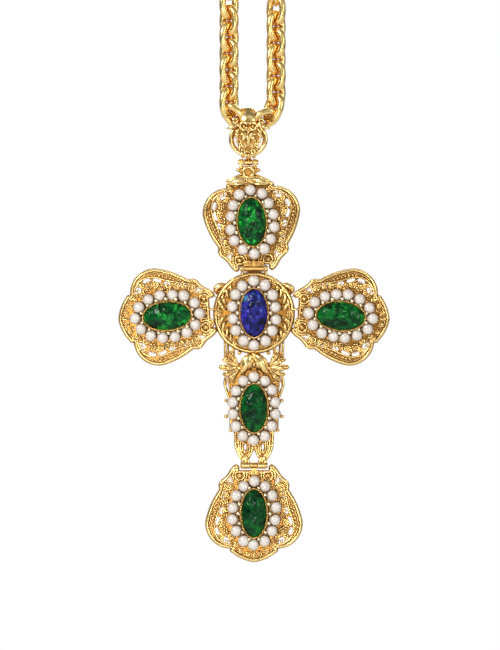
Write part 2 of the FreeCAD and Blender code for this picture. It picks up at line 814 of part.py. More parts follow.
def make_chain():
    link = make_link("link_long", "link_wide", "wire")
    left_strand, cradle, right_strand = chain_points()
    points = left_strand + cradle + right_strand
    places = [link_place(a, b, 45 if i % 2 else -45) for i, (a, b) in enumerate(zip(points, points[1:]))]
    first, last = len(left_strand), len(left_strand) + len(cradle) - 1
    copies("chain_left", link, places[:first])
    copies("chain_cradle", link, places[first:last])
    copies("chain_right", link, places[last:])
    return left_strand[0], right_strand[-1]


def make_clasp(left_end, right_end):
    """A fold-over clasp: a bar with two lugs, rings through them, and a lever whose nose shuts one."""
    eye = size("hang_height") - size("lug_hole_drop")
    bear = size("lug_hole") - size("ring_wire")
    gap = size("ring_play")
    around = "2 * (ring_radius + ring_wire)"
    ring = make_link(around, f"{around} - ring_flat", "ring_wire")
    low = Vector(left_end.x, 0, left_end.z - gap - size("ring_wire"))
    top = low + Vector(0, 0, 2 * size("ring_radius"))
    copies("jump_ring", ring, [link_place(low, top, 90)])
    low = Vector(right_end.x, 0, right_end.z - gap - size("ring_wire"))
    long_ = eye + bear - gap - low.z + 2 * size("ring_wire")
    oval_ring = make_link(long_, around, "ring_wire")
    high = Vector(low.x, 0, low.z + long_ - 2 * size("ring_wire"))
    copies("catch_ring", oval_ring, [link_place(low, high, 90)])

    hinge_x = "left_x - lug_wide - clasp_knuckle"
    bar_top = "clasp_bar"
    drop = "-2 * lug_hole_drop"
    pieces = [box(("left_x - lug_wide", "right_x + lug_wide"), ("-clasp_half", "clasp_half"), (0, bar_top))]
    holes = []
    for x in ("left_x", "right_x"):
        pieces.append(box((f"{x} - lug_wide", f"{x} + lug_wide"), ("-lug_plate", "lug_plate"), (drop, 0)))
        holes.append(post("lug_hole", ("-lug_wide", "lug_wide"), x, "-lug_hole_drop"))
    holes.append(box(("right_x", "right_x + 2 * lug_wide"), ("-lug_wide", "lug_wide"),
                     ("-lug_hole_drop - catch_mouth", "-lug_hole_drop + catch_mouth")))
    middle = "(clasp_half + side_gap) / 2"
    for y in (("-clasp_half", f"-{middle}"), (middle, "clasp_half")):
        pieces.append(post("clasp_knuckle", y, hinge_x, bar_top))
        pieces.append(box((hinge_x, "left_x - lug_wide"), y, (0, bar_top)))
    holes.append(post("pin + pin_gap", ("-clasp_half", "clasp_half"), hinge_x, bar_top))
    base = boolean("Cut", fused(pieces), fused(holes))
    hang = size("hang_height")
    node("clasp_bar", base, 0, 0, hang)

    lever_low = "clasp_bar + lever_lift"
    lever_high = "clasp_bar + lever_lift + lever_plate"
    inner = "(clasp_half - side_gap) / 2"
    nose = "right_x + lug_wide + side_gap * 3"
    arm = box((hinge_x, f"{nose} + lever_plate"), (f"-({inner})", inner), (lever_low, lever_high))
    tip = box((nose, f"{nose} + lever_plate"), (f"-({inner})", inner), ("-lever_nose", lever_high))
    roll = post("clasp_knuckle", (f"-({inner})", inner), hinge_x, bar_top)
    hole = post("pin + pin_gap", (f"-({inner})", inner), hinge_x, bar_top)
    node("clasp_lever", boolean("Cut", fused([arm, tip, roll]), hole), 0, 0, hang)

    shank = post("pin", ("-clasp_half - pin_head_length", "clasp_half + pin_head_length"), hinge_x, bar_top)
    shank.Label = "clasp_pin"
    NODES["clasp_pin"] = shank


# ---- the whole -------------------------------------------------------------------------------


def check_and_write():
    DOC.recompute()
    for obj in DOC.Objects:
        if {"Invalid", "Error"} & set(obj.State):
            raise SystemExit(f"{obj.Label}: {obj.State}")
    os.makedirs("parts", exist_ok=True)
    for name, obj in NODES.items():
        shape = obj.Shape
        if shape.isNull() or not shape.isValid() or not shape.Solids:
            raise SystemExit(f"{name}: its shape is not a valid solid")
        shape.exportStep(f"parts/{name}.step")
        print(f"{name}: {len(shape.Solids)} solid(s), {shape.Volume:.1f} mm3")


fill_sheet()
make_units()
make_shaft_ornaments()
make_upper_hinge()
make_lower_hinge()
make_neck()
make_bail()
make_clasp(*make_chain())
check_and_write()
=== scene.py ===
"""Looks of the pectoral cross: filigree, stones, pearls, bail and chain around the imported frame.

Work is drawn in millimetres: x across, z up and y backwards, as in the frame. A stone unit is
drawn about its own middle, with z outwards, and is then turned into its place.
"""
import math

import bmesh
import bpy
import numpy as np
from mathutils import Matrix, Vector, noise


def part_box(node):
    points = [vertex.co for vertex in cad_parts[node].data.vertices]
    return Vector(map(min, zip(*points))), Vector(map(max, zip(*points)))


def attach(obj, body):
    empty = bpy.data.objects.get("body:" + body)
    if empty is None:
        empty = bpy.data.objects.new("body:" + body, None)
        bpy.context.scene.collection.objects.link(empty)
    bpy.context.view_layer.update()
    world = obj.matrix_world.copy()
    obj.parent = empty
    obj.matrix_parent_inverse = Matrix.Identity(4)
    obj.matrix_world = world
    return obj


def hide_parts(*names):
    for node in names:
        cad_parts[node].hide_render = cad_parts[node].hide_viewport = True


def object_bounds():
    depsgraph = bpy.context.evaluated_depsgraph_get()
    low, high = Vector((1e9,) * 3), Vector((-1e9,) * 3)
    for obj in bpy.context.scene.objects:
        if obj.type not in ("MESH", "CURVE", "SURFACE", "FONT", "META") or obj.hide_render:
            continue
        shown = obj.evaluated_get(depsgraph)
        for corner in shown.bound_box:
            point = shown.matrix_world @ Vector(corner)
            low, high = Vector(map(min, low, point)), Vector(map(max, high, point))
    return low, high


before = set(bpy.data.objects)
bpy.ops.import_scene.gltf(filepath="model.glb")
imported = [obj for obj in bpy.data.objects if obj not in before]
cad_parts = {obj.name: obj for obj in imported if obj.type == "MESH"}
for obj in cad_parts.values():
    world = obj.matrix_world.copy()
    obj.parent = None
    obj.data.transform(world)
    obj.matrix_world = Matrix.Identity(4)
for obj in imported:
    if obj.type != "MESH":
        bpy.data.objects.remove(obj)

MM = 0.001
CAD_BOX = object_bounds()
FRONT = np.array((0.0, -1.0, 0.0))

# ---- places, from the frame ----

TURN = {"top": -3.0, "left": -94.5, "right": 94.5, "bottom": 180.0, "medallion": 0.0, "shaft": 0.0}
BODY = {"top": "top_arm", "left": "cross", "right": "cross", "bottom": "bottom_arm",
        "medallion": "cross", "shaft": "cross"}
STONE_WIDTH = {"top": 1.0, "left": 1.0, "right": 1.0, "bottom": 0.9, "medallion": 0.96, "shaft": 0.96}


def low_high(node):
    """The corners of a CAD node's box, in millimetres."""
    return np.array(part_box(node)) / MM


def middle(node):
    return low_high(node).mean(axis=0)


MIDDLE = {unit: middle(f"{unit}_stone") for unit in TURN}
MIDDLE_Z = MIDDLE["medallion"][2]
PLATE_BACK = low_high("top_filigree")[1][1]


def placing(unit):
    """Local millimetres of a stone unit to the frame's metres."""
    x, _, z = MIDDLE[unit]
    turn = Matrix.Rotation(math.radians(TURN[unit]), 4, "Y")
    return Matrix.Scale(MM, 4) @ Matrix.Translation((x, 0, z)) @ turn


def from_medallion(x=0.0, z=0.0):
    """Millimetres measured from the medallion's middle to the frame's metres."""
    return Matrix.Scale(MM, 4) @ Matrix.Translation((x, 0, MIDDLE_Z + z))


def height(node):
    """How far a node's middle is above the medallion's, in millimetres."""
    return middle(node)[2] - MIDDLE_Z


# ---- curves ----


def even(path, step=1.0, closed=False, count=None):
    """The same line with points at an even step, or with a count of them."""
    path = np.asarray(path, float)
    if closed:
        path = np.vstack([path, path[:1]])
    run = np.r_[0, np.cumsum(np.linalg.norm(np.diff(path, axis=0), axis=1))]
    count = count or max(3, int(round(run[-1] / step)))
    where = np.linspace(0, run[-1], count + 1)
    if closed:
        where = where[:-1]
    return np.column_stack([np.interp(where, run, column) for column in path.T])


def along(path, closed=False):
    """The unit run of a line at each of its points."""
    run = np.roll(path, -1, 0) - np.roll(path, 1, 0) if closed else np.gradient(path, axis=0)
    return run / np.linalg.norm(run, axis=1)[:, None]


def beside(path, closed=False):
    """The unit normal to the right of a flat line's run."""
    return along(path, closed)[:, ::-1] * (1, -1)


def arc(start, end, radius, steps=24):
    """Points after start to end on the arc that bulges to the left of its run (right if negative)."""
    start, end = np.array(start, float), np.array(end, float)
    chord = end - start
    half = np.linalg.norm(chord) / 2
    left = np.array((-chord[1], chord[0])) / (2 * half) * math.copysign(1, radius)
    centre = (start + end) / 2 - left * math.sqrt(max(radius * radius - half * half, 0))
    first = math.atan2(*(start - centre)[::-1])
    last = math.atan2(*(end - centre)[::-1])
    sweep = (last - first + math.pi) % (2 * math.pi) - math.pi
    angles = first + sweep * np.arange(1, steps + 1) / steps
    return centre + abs(radius) * np.column_stack([np.cos(angles), np.sin(angles)])


def chain_of(corners):
    """A line through (x, z) corners; a third number is the radius of the edge that leads there."""
    points = [np.array([corners[0]], float)]
    for before, (x, z, *radius) in zip(corners, corners[1:]):
        points.append(arc(before[:2], (x, z), *radius) if radius else np.array([(x, z)], float))
    return np.vstack(points)


def both_halves(half):
    """A closed outline from its right half, whose ends are on the middle line or mirrored across."""
    right = chain_of(half)
    left = right[::-1] * (-1, 1)
    if right[-1][0] == 0:
        left = left[1:]
    return np.vstack([right, left[:-1]])


def smooth(points, steps=10, closed=False):
    """A Catmull-Rom curve through the points."""
    points = np.asarray(points, float)
    if closed:
        padded = np.vstack([points[-1:], points, points[:2]])
    else:
        padded = np.vstack([2 * points[0] - points[1], points, 2 * points[-1] - points[-2]])
    t = np.linspace(0, 1, steps, endpoint=False)[:, None]
    out = []
    for a, b, c, d in zip(padded, padded[1:], padded[2:], padded[3:]):
        out.append(0.5 * (2 * b + (c - a) * t + (2 * a - 5 * b + 4 * c - d) * t ** 2
                          + (3 * b - a - 3 * c + d) * t ** 3))
    if not closed:
        out.append(points[-1:])
    return np.vstack(out)


def inset(path, distance, closed=True):
    """A line beside another, to the right of its run, without the loops that corners would make."""
    path = even(path, 0.2, closed)
    moved = path + distance * beside(path, closed)
    gaps = np.linalg.norm(moved[:, None] - path[None], axis=2).min(axis=1)
    return moved[gaps > 0.96 * abs(distance)]


def oval(wide, high, count=96, start=0.0, end=360.0):
    """Points on an oval, clockwise from its upper end."""
    angles = np.radians(np.linspace(start, end, count, endpoint=end - start < 360))
    return np.column_stack([wide * np.sin(angles), high * np.cos(angles)])


def spiral(x, z, radius, start, turns, inner=0.3):
    """A volute about (x, z): from its rim at the start angle inwards; turns < 0 winds clockwise."""
    count = max(8, int(abs(turns) * 22))
    part = np.linspace(0, 1, count)
    angles = np.radians(start) + 2 * math.pi * turns * part
    reach = radius * (1 - part * (1 - inner))
    return np.column_stack([x + reach * np.cos(angles), z + reach * np.sin(angles)])


def even_count(wide, high, count):
    """A count of points at even steps along an oval, the first at its upper end."""
    return even(oval(wide, high, 720), closed=True, count=count)


def lifted(line, y):
    """A flat line at a depth, which may vary along it."""
    return np.column_stack([line[:, 0], np.broadcast_to(y, len(line)), line[:, 1]])


def skin(rows, columns, closed=True):
    """Triangles over a grid of points that closes across its columns and, if closed, its rows."""
    i, j = np.indices((rows if closed else rows - 1, columns)).reshape(2, -1)
    after, next_to = (i + 1) % rows, (j + 1) % columns
    a, b = i * columns + j, after * columns + j
    c, d = after * columns + next_to, i * columns + next_to
    return np.vstack([np.column_stack([a, b, c]), np.column_stack([a, c, d])])


def fan(tip, rim, count):
    """Triangles from a tip to a closed row of points that starts at rim."""
    k = np.arange(count)
    return np.column_stack([np.full(count, tip), rim + k, rim + (k + 1) % count])


def capped(rows, columns, first, last):
    """A skin over rows of points, given as one list, with a fan to a point at each end."""
    end = len(rows)
    triangles = np.vstack([skin(end // columns, columns, False), fan(end, 0, columns),
                           fan(end + 1, end - columns, columns)[:, ::-1]])
    return np.vstack([rows, first, last]), triangles


def placed(name, data):
    made = bpy.data.objects.new(name, data)
    bpy.context.scene.collection.objects.link(made)
    return made


# ---- metal work ----


def ball_mesh(level):
    made = bmesh.new()
    bmesh.ops.create_icosphere(made, subdivisions=level, radius=1.0)
    points = np.array([v.co for v in made.verts])
    triangles = np.array([[v.index for v in f.verts] for f in made.faces])
    made.free()
    return points, triangles


BALLS = {level: ball_mesh(level) for level in (1, 2, 3)}


class Work:
    """Gathers closed wires, balls and plates, in millimetres, into one mesh."""

    def __init__(self):
        self.points = []
        self.triangles = []
        self.count = 0

    def add(self, points, triangles):
        self.points.append(np.asarray(points, float))
        self.triangles.append(np.asarray(triangles, int) + self.count)
        self.count += len(points)

    def both(self, other, sides=(1, -1), up=1):
        """Adds another work, mirrored across x = 0 for the side -1 and across z = 0 if up is -1."""
        for points, triangles in zip(other.points, other.triangles):
            faces = triangles - triangles.min()
            for side in sides:
                self.add(points * (side, 1, up), faces if side * up > 0 else faces[:, ::-1])
        return self

    def tube(self, path, radius, sides=8, closed=False, flat=1.0):
        """A round wire along a line; flat is its size from front to back against its width."""
        path = np.asarray(path, float)
        radius = np.broadcast_to(radius, len(path)).astype(float)
        if not closed:
            first = (path[0] - path[1]) * radius[0] / np.linalg.norm(path[0] - path[1])
            last = (path[-1] - path[-2]) * radius[-1] / np.linalg.norm(path[-1] - path[-2])
            path = np.vstack([path[0] + 0.9 * first, path[0] + 0.6 * first, path,
                              path[-1] + 0.6 * last, path[-1] + 0.9 * last])
            radius = np.r_[0.4 * radius[0], 0.8 * radius[0], radius, 0.8 * radius[-1], 0.4 * radius[-1]]
        run = along(path, closed)
        side = np.cross(run, FRONT)
        side /= np.linalg.norm(side, axis=1)[:, None]
        up = np.cross(side, run)
        angles = 2 * math.pi * np.arange(sides)[None, :, None] / sides
        ring = np.cos(angles) * side[:, None] + flat * np.sin(angles) * up[:, None]
        points = (path[:, None] + radius[:, None, None] * ring).reshape(-1, 3)
        if closed:
            self.add(points, skin(len(path), sides))
        else:
            self.add(*capped(points, sides, path[0], path[-1]))

    def wire(self, line, y, radius, sides=8, closed=False, step=0.25):
        """A round wire along a flat line at the depth y."""
        self.tube(lifted(even(line, step, closed), y), radius, sides, closed)

    def line(self, points, y, radius):
        """A wire along a smooth line through the points."""
        self.wire(smooth(points), y, radius)

    def rope(self, line, y, radius, pitch=1.1):
        """Two twisted strands round a closed flat line at the depth y."""
        path = lifted(even(line, pitch / 8, True), y)
        side = np.cross(along(path, True), FRONT)
        turns = max(1, round(len(path) / 8))
        for start in (0, 0.5):
            angle = 2 * math.pi * (turns * np.arange(len(path)) / len(path) + start)[:, None]
            off = np.cos(angle) * side + np.sin(angle) * FRONT
            self.tube(path + 0.48 * radius * off, 0.56 * radius, 6, True)

    def ball(self, x, y, z, radius, level=2, stretch=(1, 1, 1)):
        points, triangles = BALLS[level]
        self.add(points * radius * np.array(stretch) + (x, y, z), triangles)

    def curl(self, x, z, radius, start, turns, y, wire=0.22, bead=0.3):
        """A volute of wire with a bead in its eye."""
        self.wire(spiral(x, z, radius, start, turns), y, wire, 7, step=0.16)
        self.ball(x, y - 0.1, z, bead)

    def rosette(self, x, z, radius, y, petals=6):
        """A flower of round petals about a bead."""
        reach = 0.62 * radius
        for k in range(petals):
            angle = 2 * math.pi * (k + 0.5) / petals
            self.ball(x + reach * math.cos(angle), y, z + reach * math.sin(angle), 0.36 * radius, 2,
                      (1, 0.8, 1))
        self.ball(x, y - 0.22 * radius, z, 0.34 * radius)

    def leaf(self, points, width, y, flat=0.7, rise=0.0, blunt=0.6, lean=1.0):
        """A tapered leaf along a smooth line; a lean above 1 moves its fullest part towards the end."""
        line = even(smooth(points, 8), 0.18)
        part = np.linspace(0, 1, len(line))
        swell = np.sin(math.pi * np.clip(part, 0.03, 0.97) ** lean) ** blunt
        self.tube(lifted(line, y - rise * np.sin(math.pi * part)), width * swell, 10, flat=flat)

    def plate(self, outline, holes, back, front, edge=0.12):
        """A flat plate with holes and rounded edges, between two depths."""
        curve = bpy.data.curves.new("plate", "CURVE")
        curve.dimensions = "2D"
        curve.fill_mode = "BOTH"
        curve.extrude = (back - front) / 2 - edge
        curve.bevel_depth = edge
        curve.bevel_resolution = 1
        curve.offset = -edge
        for line in (outline, *holes):
            spline = curve.splines.new("POLY")
            spline.points.add(len(line) - 1)
            flat = np.column_stack([line, np.zeros(len(line)), np.ones(len(line))])
            spline.points.foreach_set("co", flat.ravel())
            spline.use_cyclic_u = True
        made = placed("plate", curve)
        bpy.context.view_layer.update()
        mesh = bpy.data.meshes.new_from_object(made.evaluated_get(bpy.context.evaluated_depsgraph_get()))
        bpy.data.objects.remove(made)
        bpy.data.curves.remove(curve)
        mesh.calc_loop_triangles()
        flat = np.array([v.co for v in mesh.vertices])
        triangles = np.array([t.vertices for t in mesh.loop_triangles])
        bpy.data.meshes.remove(mesh)
        self.add(lifted(flat, (back + front) / 2 - flat[:, 2]), triangles)

    def turned(self, profile, y=0.0, z=0.0, steps=48):
        """A ring turned about a line along x, from a closed outline of (x, distance) points."""
        along_x, distance = np.asarray(profile, float).T
        angles = 2 * math.pi * np.arange(steps)[:, None] / steps
        points = np.stack([np.broadcast_to(along_x, (steps, len(along_x))), y - distance * np.cos(angles),
                           z + distance * np.sin(angles)], axis=2)
        self.add(points.reshape(-1, 3), skin(steps, len(along_x)))

    def barrel(self, start, end, radius, z):
        """A hinge knuckle along x with softened edges."""
        bore, soft = 0.62, 0.16
        half = [(start, bore), (start, radius - 1.5 * soft), (start, radius - soft),
                (start + 0.3 * soft, radius - 0.3 * soft), (start + soft, radius), (start + 1.5 * soft, radius)]
        self.turned(half + [(start + end - x, r) for x, r in half[::-1]], 0.0, z)

    def piece(self, name, body, material, replaced=(), place=None, slot="bright_gold"):
        """Makes the mesh, hangs it on the empty named for the body it rides on, and hides the CAD nodes it
        stands for.
        """
        matrix = np.array(from_medallion() if place is None else place)
        points = np.vstack(self.points) @ matrix[:3, :3].T + matrix[:3, 3]
        triangles = np.vstack(self.triangles)
        mesh = bpy.data.meshes.new(name)
        mesh.vertices.add(len(points))
        mesh.vertices.foreach_set("co", points.astype(np.float32).ravel())
        mesh.loops.add(triangles.size)
        mesh.loops.foreach_set("vertex_index", triangles.astype(np.int32).ravel())
        mesh.polygons.add(len(triangles))
        mesh.polygons.foreach_set("loop_start", np.arange(0, triangles.size, 3, dtype=np.int32))
        mesh.update(calc_edges=True)
        mesh.validate()
        mesh.shade_smooth()
        made = placed(name, mesh)
        mesh.materials.append(material)
        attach(made, body)
        if replaced:
            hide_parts(*replaced)


# ---- materials ----


class Nodes:
    """A node tree in the making: inputs are numbers, colours or other nodes' outputs."""

    def __init__(self, tree):
        self.tree = tree

    def node(self, kind, **inputs):
        made = self.tree.nodes.new(kind)
        for key, value in inputs.items():
            self.feed(made.inputs[key.replace("_", " ")], value)
        return made

    def feed(self, socket, value):
        if isinstance(value, bpy.types.NodeSocket):
            self.tree.links.new(value, socket)
        else:
            socket.default_value = value

    def ramp(self, value, *stops):
        """A colour ramp through (position, colour) stops."""
        made = self.node("ShaderNodeValToRGB", Fac=value)
        line = made.color_ramp.elements
        while len(line) < len(stops):
            line.new(0.5)
        for element, (position, colour) in zip(line, stops):
            element.position = position
            element.color = (*colour, 1) if isinstance(colour, tuple) else (colour, colour, colour, 1)
        return made.outputs["Color"]

    def share(self, vector, axis, low, high):
        """Where one axis of a vector lies between two ends, from 0 to 1."""
        value = self.node("ShaderNodeSeparateXYZ", Vector=vector).outputs[axis]
        return self.node("ShaderNodeMapRange", Value=value, From_Min=low, From_Max=high).outputs["Result"]


class Surface(Nodes):
    """A material: a Principled shader with procedural inputs."""

    def __init__(self, name):
        self.material = bpy.data.materials.new(name)
        self.material.use_nodes = True
        super().__init__(self.material.node_tree)
        self.place = self.node("ShaderNodeTexCoord").outputs["Object"]

    def set(self, **inputs):
        for key, value in inputs.items():
            self.feed(self.tree.nodes["Principled BSDF"].inputs[key.replace("_", " ")], value)

    def noise(self, scale, detail=3.0, distortion=0.0):
        """Cloudy values; the scale is in features a millimetre."""
        made = self.node("ShaderNodeTexNoise", Vector=self.place, Scale=scale / MM, Detail=detail,
                         Distortion=distortion)
        return made.outputs["Fac"]

    def openness(self, reach):
        """How open a spot is, within a reach in millimetres."""
        made = self.node("ShaderNodeAmbientOcclusion", Distance=reach * MM)
        made.samples = 8
        return made.outputs["AO"]

    def mixed(self, part, first, second, blend="MIX"):
        made = self.tree.nodes.new("ShaderNodeMix")
        made.data_type = "RGBA"
        made.blend_type = blend
        for index, value in ((0, part), (6, first), (7, second)):
            self.feed(made.inputs[index], (*value, 1) if isinstance(value, tuple) else value)
        return made.outputs[2]

    def relief(self, height, depth, strength):
        """Bump from a height, with its full depth in millimetres."""
        made = self.node("ShaderNodeBump", Strength=strength, Distance=depth * MM, Height=height)
        self.set(Normal=made.outputs["Normal"])


def gold(name, bright, deep, painted_shade, rough, grain, bump, ground=None):
    """Gilt metal with painted shade: bright in the open, and deeper, darker and less metallic where ambient
    occlusion finds it closed in.

    The ground, if any, is the depth in millimetres of a sunk face that is tinted darker as painted shade.
    """
    made = Surface(name)
    open_ = made.openness(1.5)
    # painted shade: the darkest tone in closed-in spots, the deep one halfway, the bright one in the open
    tone = made.ramp(open_, (0.22, painted_shade), (0.5, deep), (0.86, bright))
    if ground is not None:
        # painted shade: the sunk ground between the wires is tinted darker
        part = made.share(made.place, "Y", (ground - 1.0) * MM, (ground + 1.0) * MM)
        sunk = made.ramp(part, (0.30, 0.0), (0.47, 1.0), (0.53, 1.0), (0.66, 0.0))
        tone = made.mixed(sunk, tone, made.mixed(0.78, deep, painted_shade))
    cloud = made.ramp(made.noise(0.35), (0.35, 0.90), (0.65, 1.0))
    # less metallic where closed in, as part of the painted shade
    made.set(Metallic=made.ramp(open_, (0.25, 0.5), (0.65, 1.0)),
             Base_Color=made.mixed(1.0, tone, cloud, "MULTIPLY"),
             Roughness=made.ramp(made.noise(1.6), (0.3, rough), (0.75, rough + 0.1)))
    made.relief(made.noise(grain), 0.05, bump)
    return made.material


def pearl():
    """Faux pearl: a cream body colour with a pink cast under a clear lacquer, with painted shade: browner where
    the gilt closes it in and darker towards its sides.
    """
    made = Surface("pearl")
    # painted shade: browner where ambient occlusion finds the gilt close
    shade = made.ramp(made.openness(1.6), (0.2, (0.42, 0.30, 0.18)), (0.5, (0.82, 0.74, 0.66)), (0.85, 1.0))
    cloud = made.ramp(made.noise(0.45, 2.0), (0.35, (0.75, 0.67, 0.59)), (0.65, (0.81, 0.75, 0.68)))
    # painted shade: darker as the surface turns from the front towards its sides and back
    facing = made.share(made.node("ShaderNodeTexCoord").outputs["Normal"], "Y", -1.0, 1.0)
    side = made.ramp(facing, (0.0, 1.0), (0.16, (0.96, 0.94, 0.92)), (0.5, (0.50, 0.43, 0.36)))
    body = made.mixed(1.0, cloud, side, "MULTIPLY")
    made.set(Base_Color=made.mixed(1.0, body, shade, "MULTIPLY"), Coat_Weight=1.0, Coat_Roughness=0.06,
             Coat_IOR=1.9, Roughness=made.ramp(made.noise(2.5), (0.3, 0.24), (0.7, 0.34)))
    made.relief(made.noise(0.9, 1.0), 0.02, 0.12)
    return made.material


def glass_stone(name, dark, body, light, fleck, flecked=(-20.0, 20.0)):
    """Pressed art glass on a foil back: deep body colour, painted lit patches, dark inclusions and a faint
    painted glow.

    The flecks grow between two heights in millimetres from the medallion's middle.
    """
    made = Surface(name)
    patch = made.ramp(made.noise(0.34, 2.0, 0.9), (0.33, dark), (0.5, body), (0.68, light))
    low, high = flecked
    place = made.share(made.place, "Z", (MIDDLE_Z + low) * MM, (MIDDLE_Z + high) * MM)
    spots = made.ramp(made.noise(0.45, 2.5, 1.0), (0.56, 0.0), (0.68, 0.9))
    colour = made.mixed(made.mixed(1.0, spots, place, "MULTIPLY"), patch, fleck)
    colour = made.mixed(made.ramp(made.noise(0.55, 3.0, 0.6), (0.58, 0.0), (0.7, 0.85)), colour, dark)
    # painted light: the colour is also given as emission, so the stone glows faintly though it is no lamp
    made.set(Base_Color=colour, Coat_Weight=0.14, Coat_Roughness=0.03, Specular_IOR_Level=0.12,
             Roughness=made.ramp(made.noise(1.5), (0.3, 0.1), (0.7, 0.22)), Emission_Color=colour,
             Emission_Strength=0.36)
    made.relief(made.noise(0.4, 2.0, 0.8), 0.1, 0.4)
    return made.material


# Each gold runs from its bright tone in the open, through its deep tone, to its darkest tone in closed-in
# spots. The deep and darkest tones are painted shade, and so is the darker sunk ground of the filigree and
# shaft golds.
BRIGHT_TONE, DEEP_TONE, PAINTED_SHADE_TONE = (1.0, 0.71, 0.27), (0.80, 0.36, 0.06), (0.20, 0.09, 0.015)
FILIGREE = gold("filigree_gold", BRIGHT_TONE, DEEP_TONE, PAINTED_SHADE_TONE, 0.19, 5.0, 0.25, 0.45)
SHAFT_GOLD = gold("shaft_gold", BRIGHT_TONE, DEEP_TONE, PAINTED_SHADE_TONE, 0.19, 5.0, 0.25, 1.35)
BRIGHT = gold("bright_gold", (1.0, 0.73, 0.29), DEEP_TONE, PAINTED_SHADE_TONE, 0.17, 2.0, 0.2)
# painted highlight: a paler, brighter copy of the gold for the crown beads, bright even in their hollows
LIT_BEAD_GOLD = gold("lit_bead_gold", (1.0, 0.88, 0.60), (1.0, 0.86, 0.55), (0.9, 0.7, 0.4), 0.22, 2.0, 0.1)
# painted shade: a dark copy of the gold for the plates set in the neck's and bail's recesses
RECESS_SHADE_GOLD = gold("recess_shade_gold", (0.58, 0.30, 0.07), (0.42, 0.19, 0.035), (0.2, 0.08, 0.012), 0.32, 2.0, 0.3)
# painted shade: a darker, orange copy of the gold for the trays, the upper hinge's fold and the bottom tab
SHADED_GOLD = gold("shaded_gold", (0.80, 0.46, 0.14), (0.45, 0.21, 0.04), (0.12, 0.055, 0.01), 0.26, 2.0, 0.2)
CHAIN = gold("chain_gold", (1.0, 0.72, 0.27), (0.95, 0.52, 0.13), (0.66, 0.28, 0.04), 0.2, 1.5, 0.15)
PEARL = pearl()
EMERALD = glass_stone("emerald_glass", (0.0, 0.008, 0.002), (0.0, 0.044, 0.008), (0.002, 0.11, 0.013),
                      (0.02, 0.50, 0.05))
LAPIS = glass_stone("lapis_glass", (0.003, 0.003, 0.014), (0.009, 0.010, 0.125), (0.036, 0.030, 0.36),
                    (0.07, 0.28, 0.50), (-0.5, 2.0))

# ---- the arms' stamping ----

ARM_HALF = [(0, 13.95), (5.9, 11.45, 11.5), (6.7, 11.0), (6.5, 10.0), (13.8, 2.6, 7.0),
            (9.8, -6.7, 23.0),
            (10.0, -8.2), (9.4, -9.3), (6.9, -12.0, -7.0), (5.2, -13.9, 6.0), (4.6, -13.4),
            (4.6, -12.1)]
# depths of a stamping's ground and of the wires on it, and the plate behind each cup
GROUND = 0.45
RAISED = 0.05
BACKING = oval(6.3, 9.3)
BAND_LINE = [(6.0, 9.25), (7.4, 9.1), (9.0, 8.55), (10.5, 7.3), (11.4, 5.4), (11.55, 3.6), (11.1, 1.6),
             (10.2, -0.8), (9.6, -3.2), (9.2, -5.4), (8.9, -6.6)]


def pointed(line, width):
    """A long opening with pointed ends round a middle line."""
    line = even(line, 0.2)
    part = np.linspace(0, 1, len(line))[:, None]
    off = 0.5 * width * np.sin(math.pi * part) ** 0.7 * beside(line)
    return np.vstack([line + off, (line - off)[-2:0:-1]])


def arm_openings():
    """The openings of one half of the stamping, as closed lines."""
    band = smooth(BAND_LINE)
    inner = inset(band, 0.75, False)
    long_ = len(inner)
    slots = [(0.05, 0.27, 2.1), (0.30, 0.45, 1.4), (0.47, 0.62, 1.7), (0.65, 0.77, 1.4), (0.86, 0.99, 1.3)]
    found = [pointed(inner[int(a * long_):int(b * long_)], width) for a, b, width in slots]
    found.append(smooth([(6.2, -8.3), (8.1, -9.5), (7.0, -11.0), (6.2, -11.7)], 6, True))
    return found


def band_work(half):
    """The lobe's outer band: a row of beads and grains over a dark ground, between two wires."""
    rim = both_halves(ARM_HALF)
    outer = inset(rim, 1.62)
    outer = outer[(outer[:, 0] > 6.8) & (outer[:, 1] > -7.0)]
    inner = even(smooth(BAND_LINE), 0.2)
    half.wire(inner, RAISED - 0.25, 0.28)
    for k, spot in enumerate(even(outer, 1.12)):
        size = 0.40 + 0.06 * math.sin(2.3 * k)
        gap = np.linalg.norm(inner - spot, axis=1).min()
        if gap > 0.45:
            half.ball(spot[0], RAISED - 0.25, spot[1], size)
    for k, spot in enumerate(even(outer, 0.56)[1::2]):
        facing = inner[np.linalg.norm(inner - spot, axis=1).argmin()]
        for part in (-0.45, 0.45):
            grain = spot + (facing - spot) / max(np.linalg.norm(facing - spot), 0.2) * part
            if np.linalg.norm(inner - grain, axis=1).min() > 0.3:
                half.ball(grain[0], RAISED, grain[1], 0.19, 1)


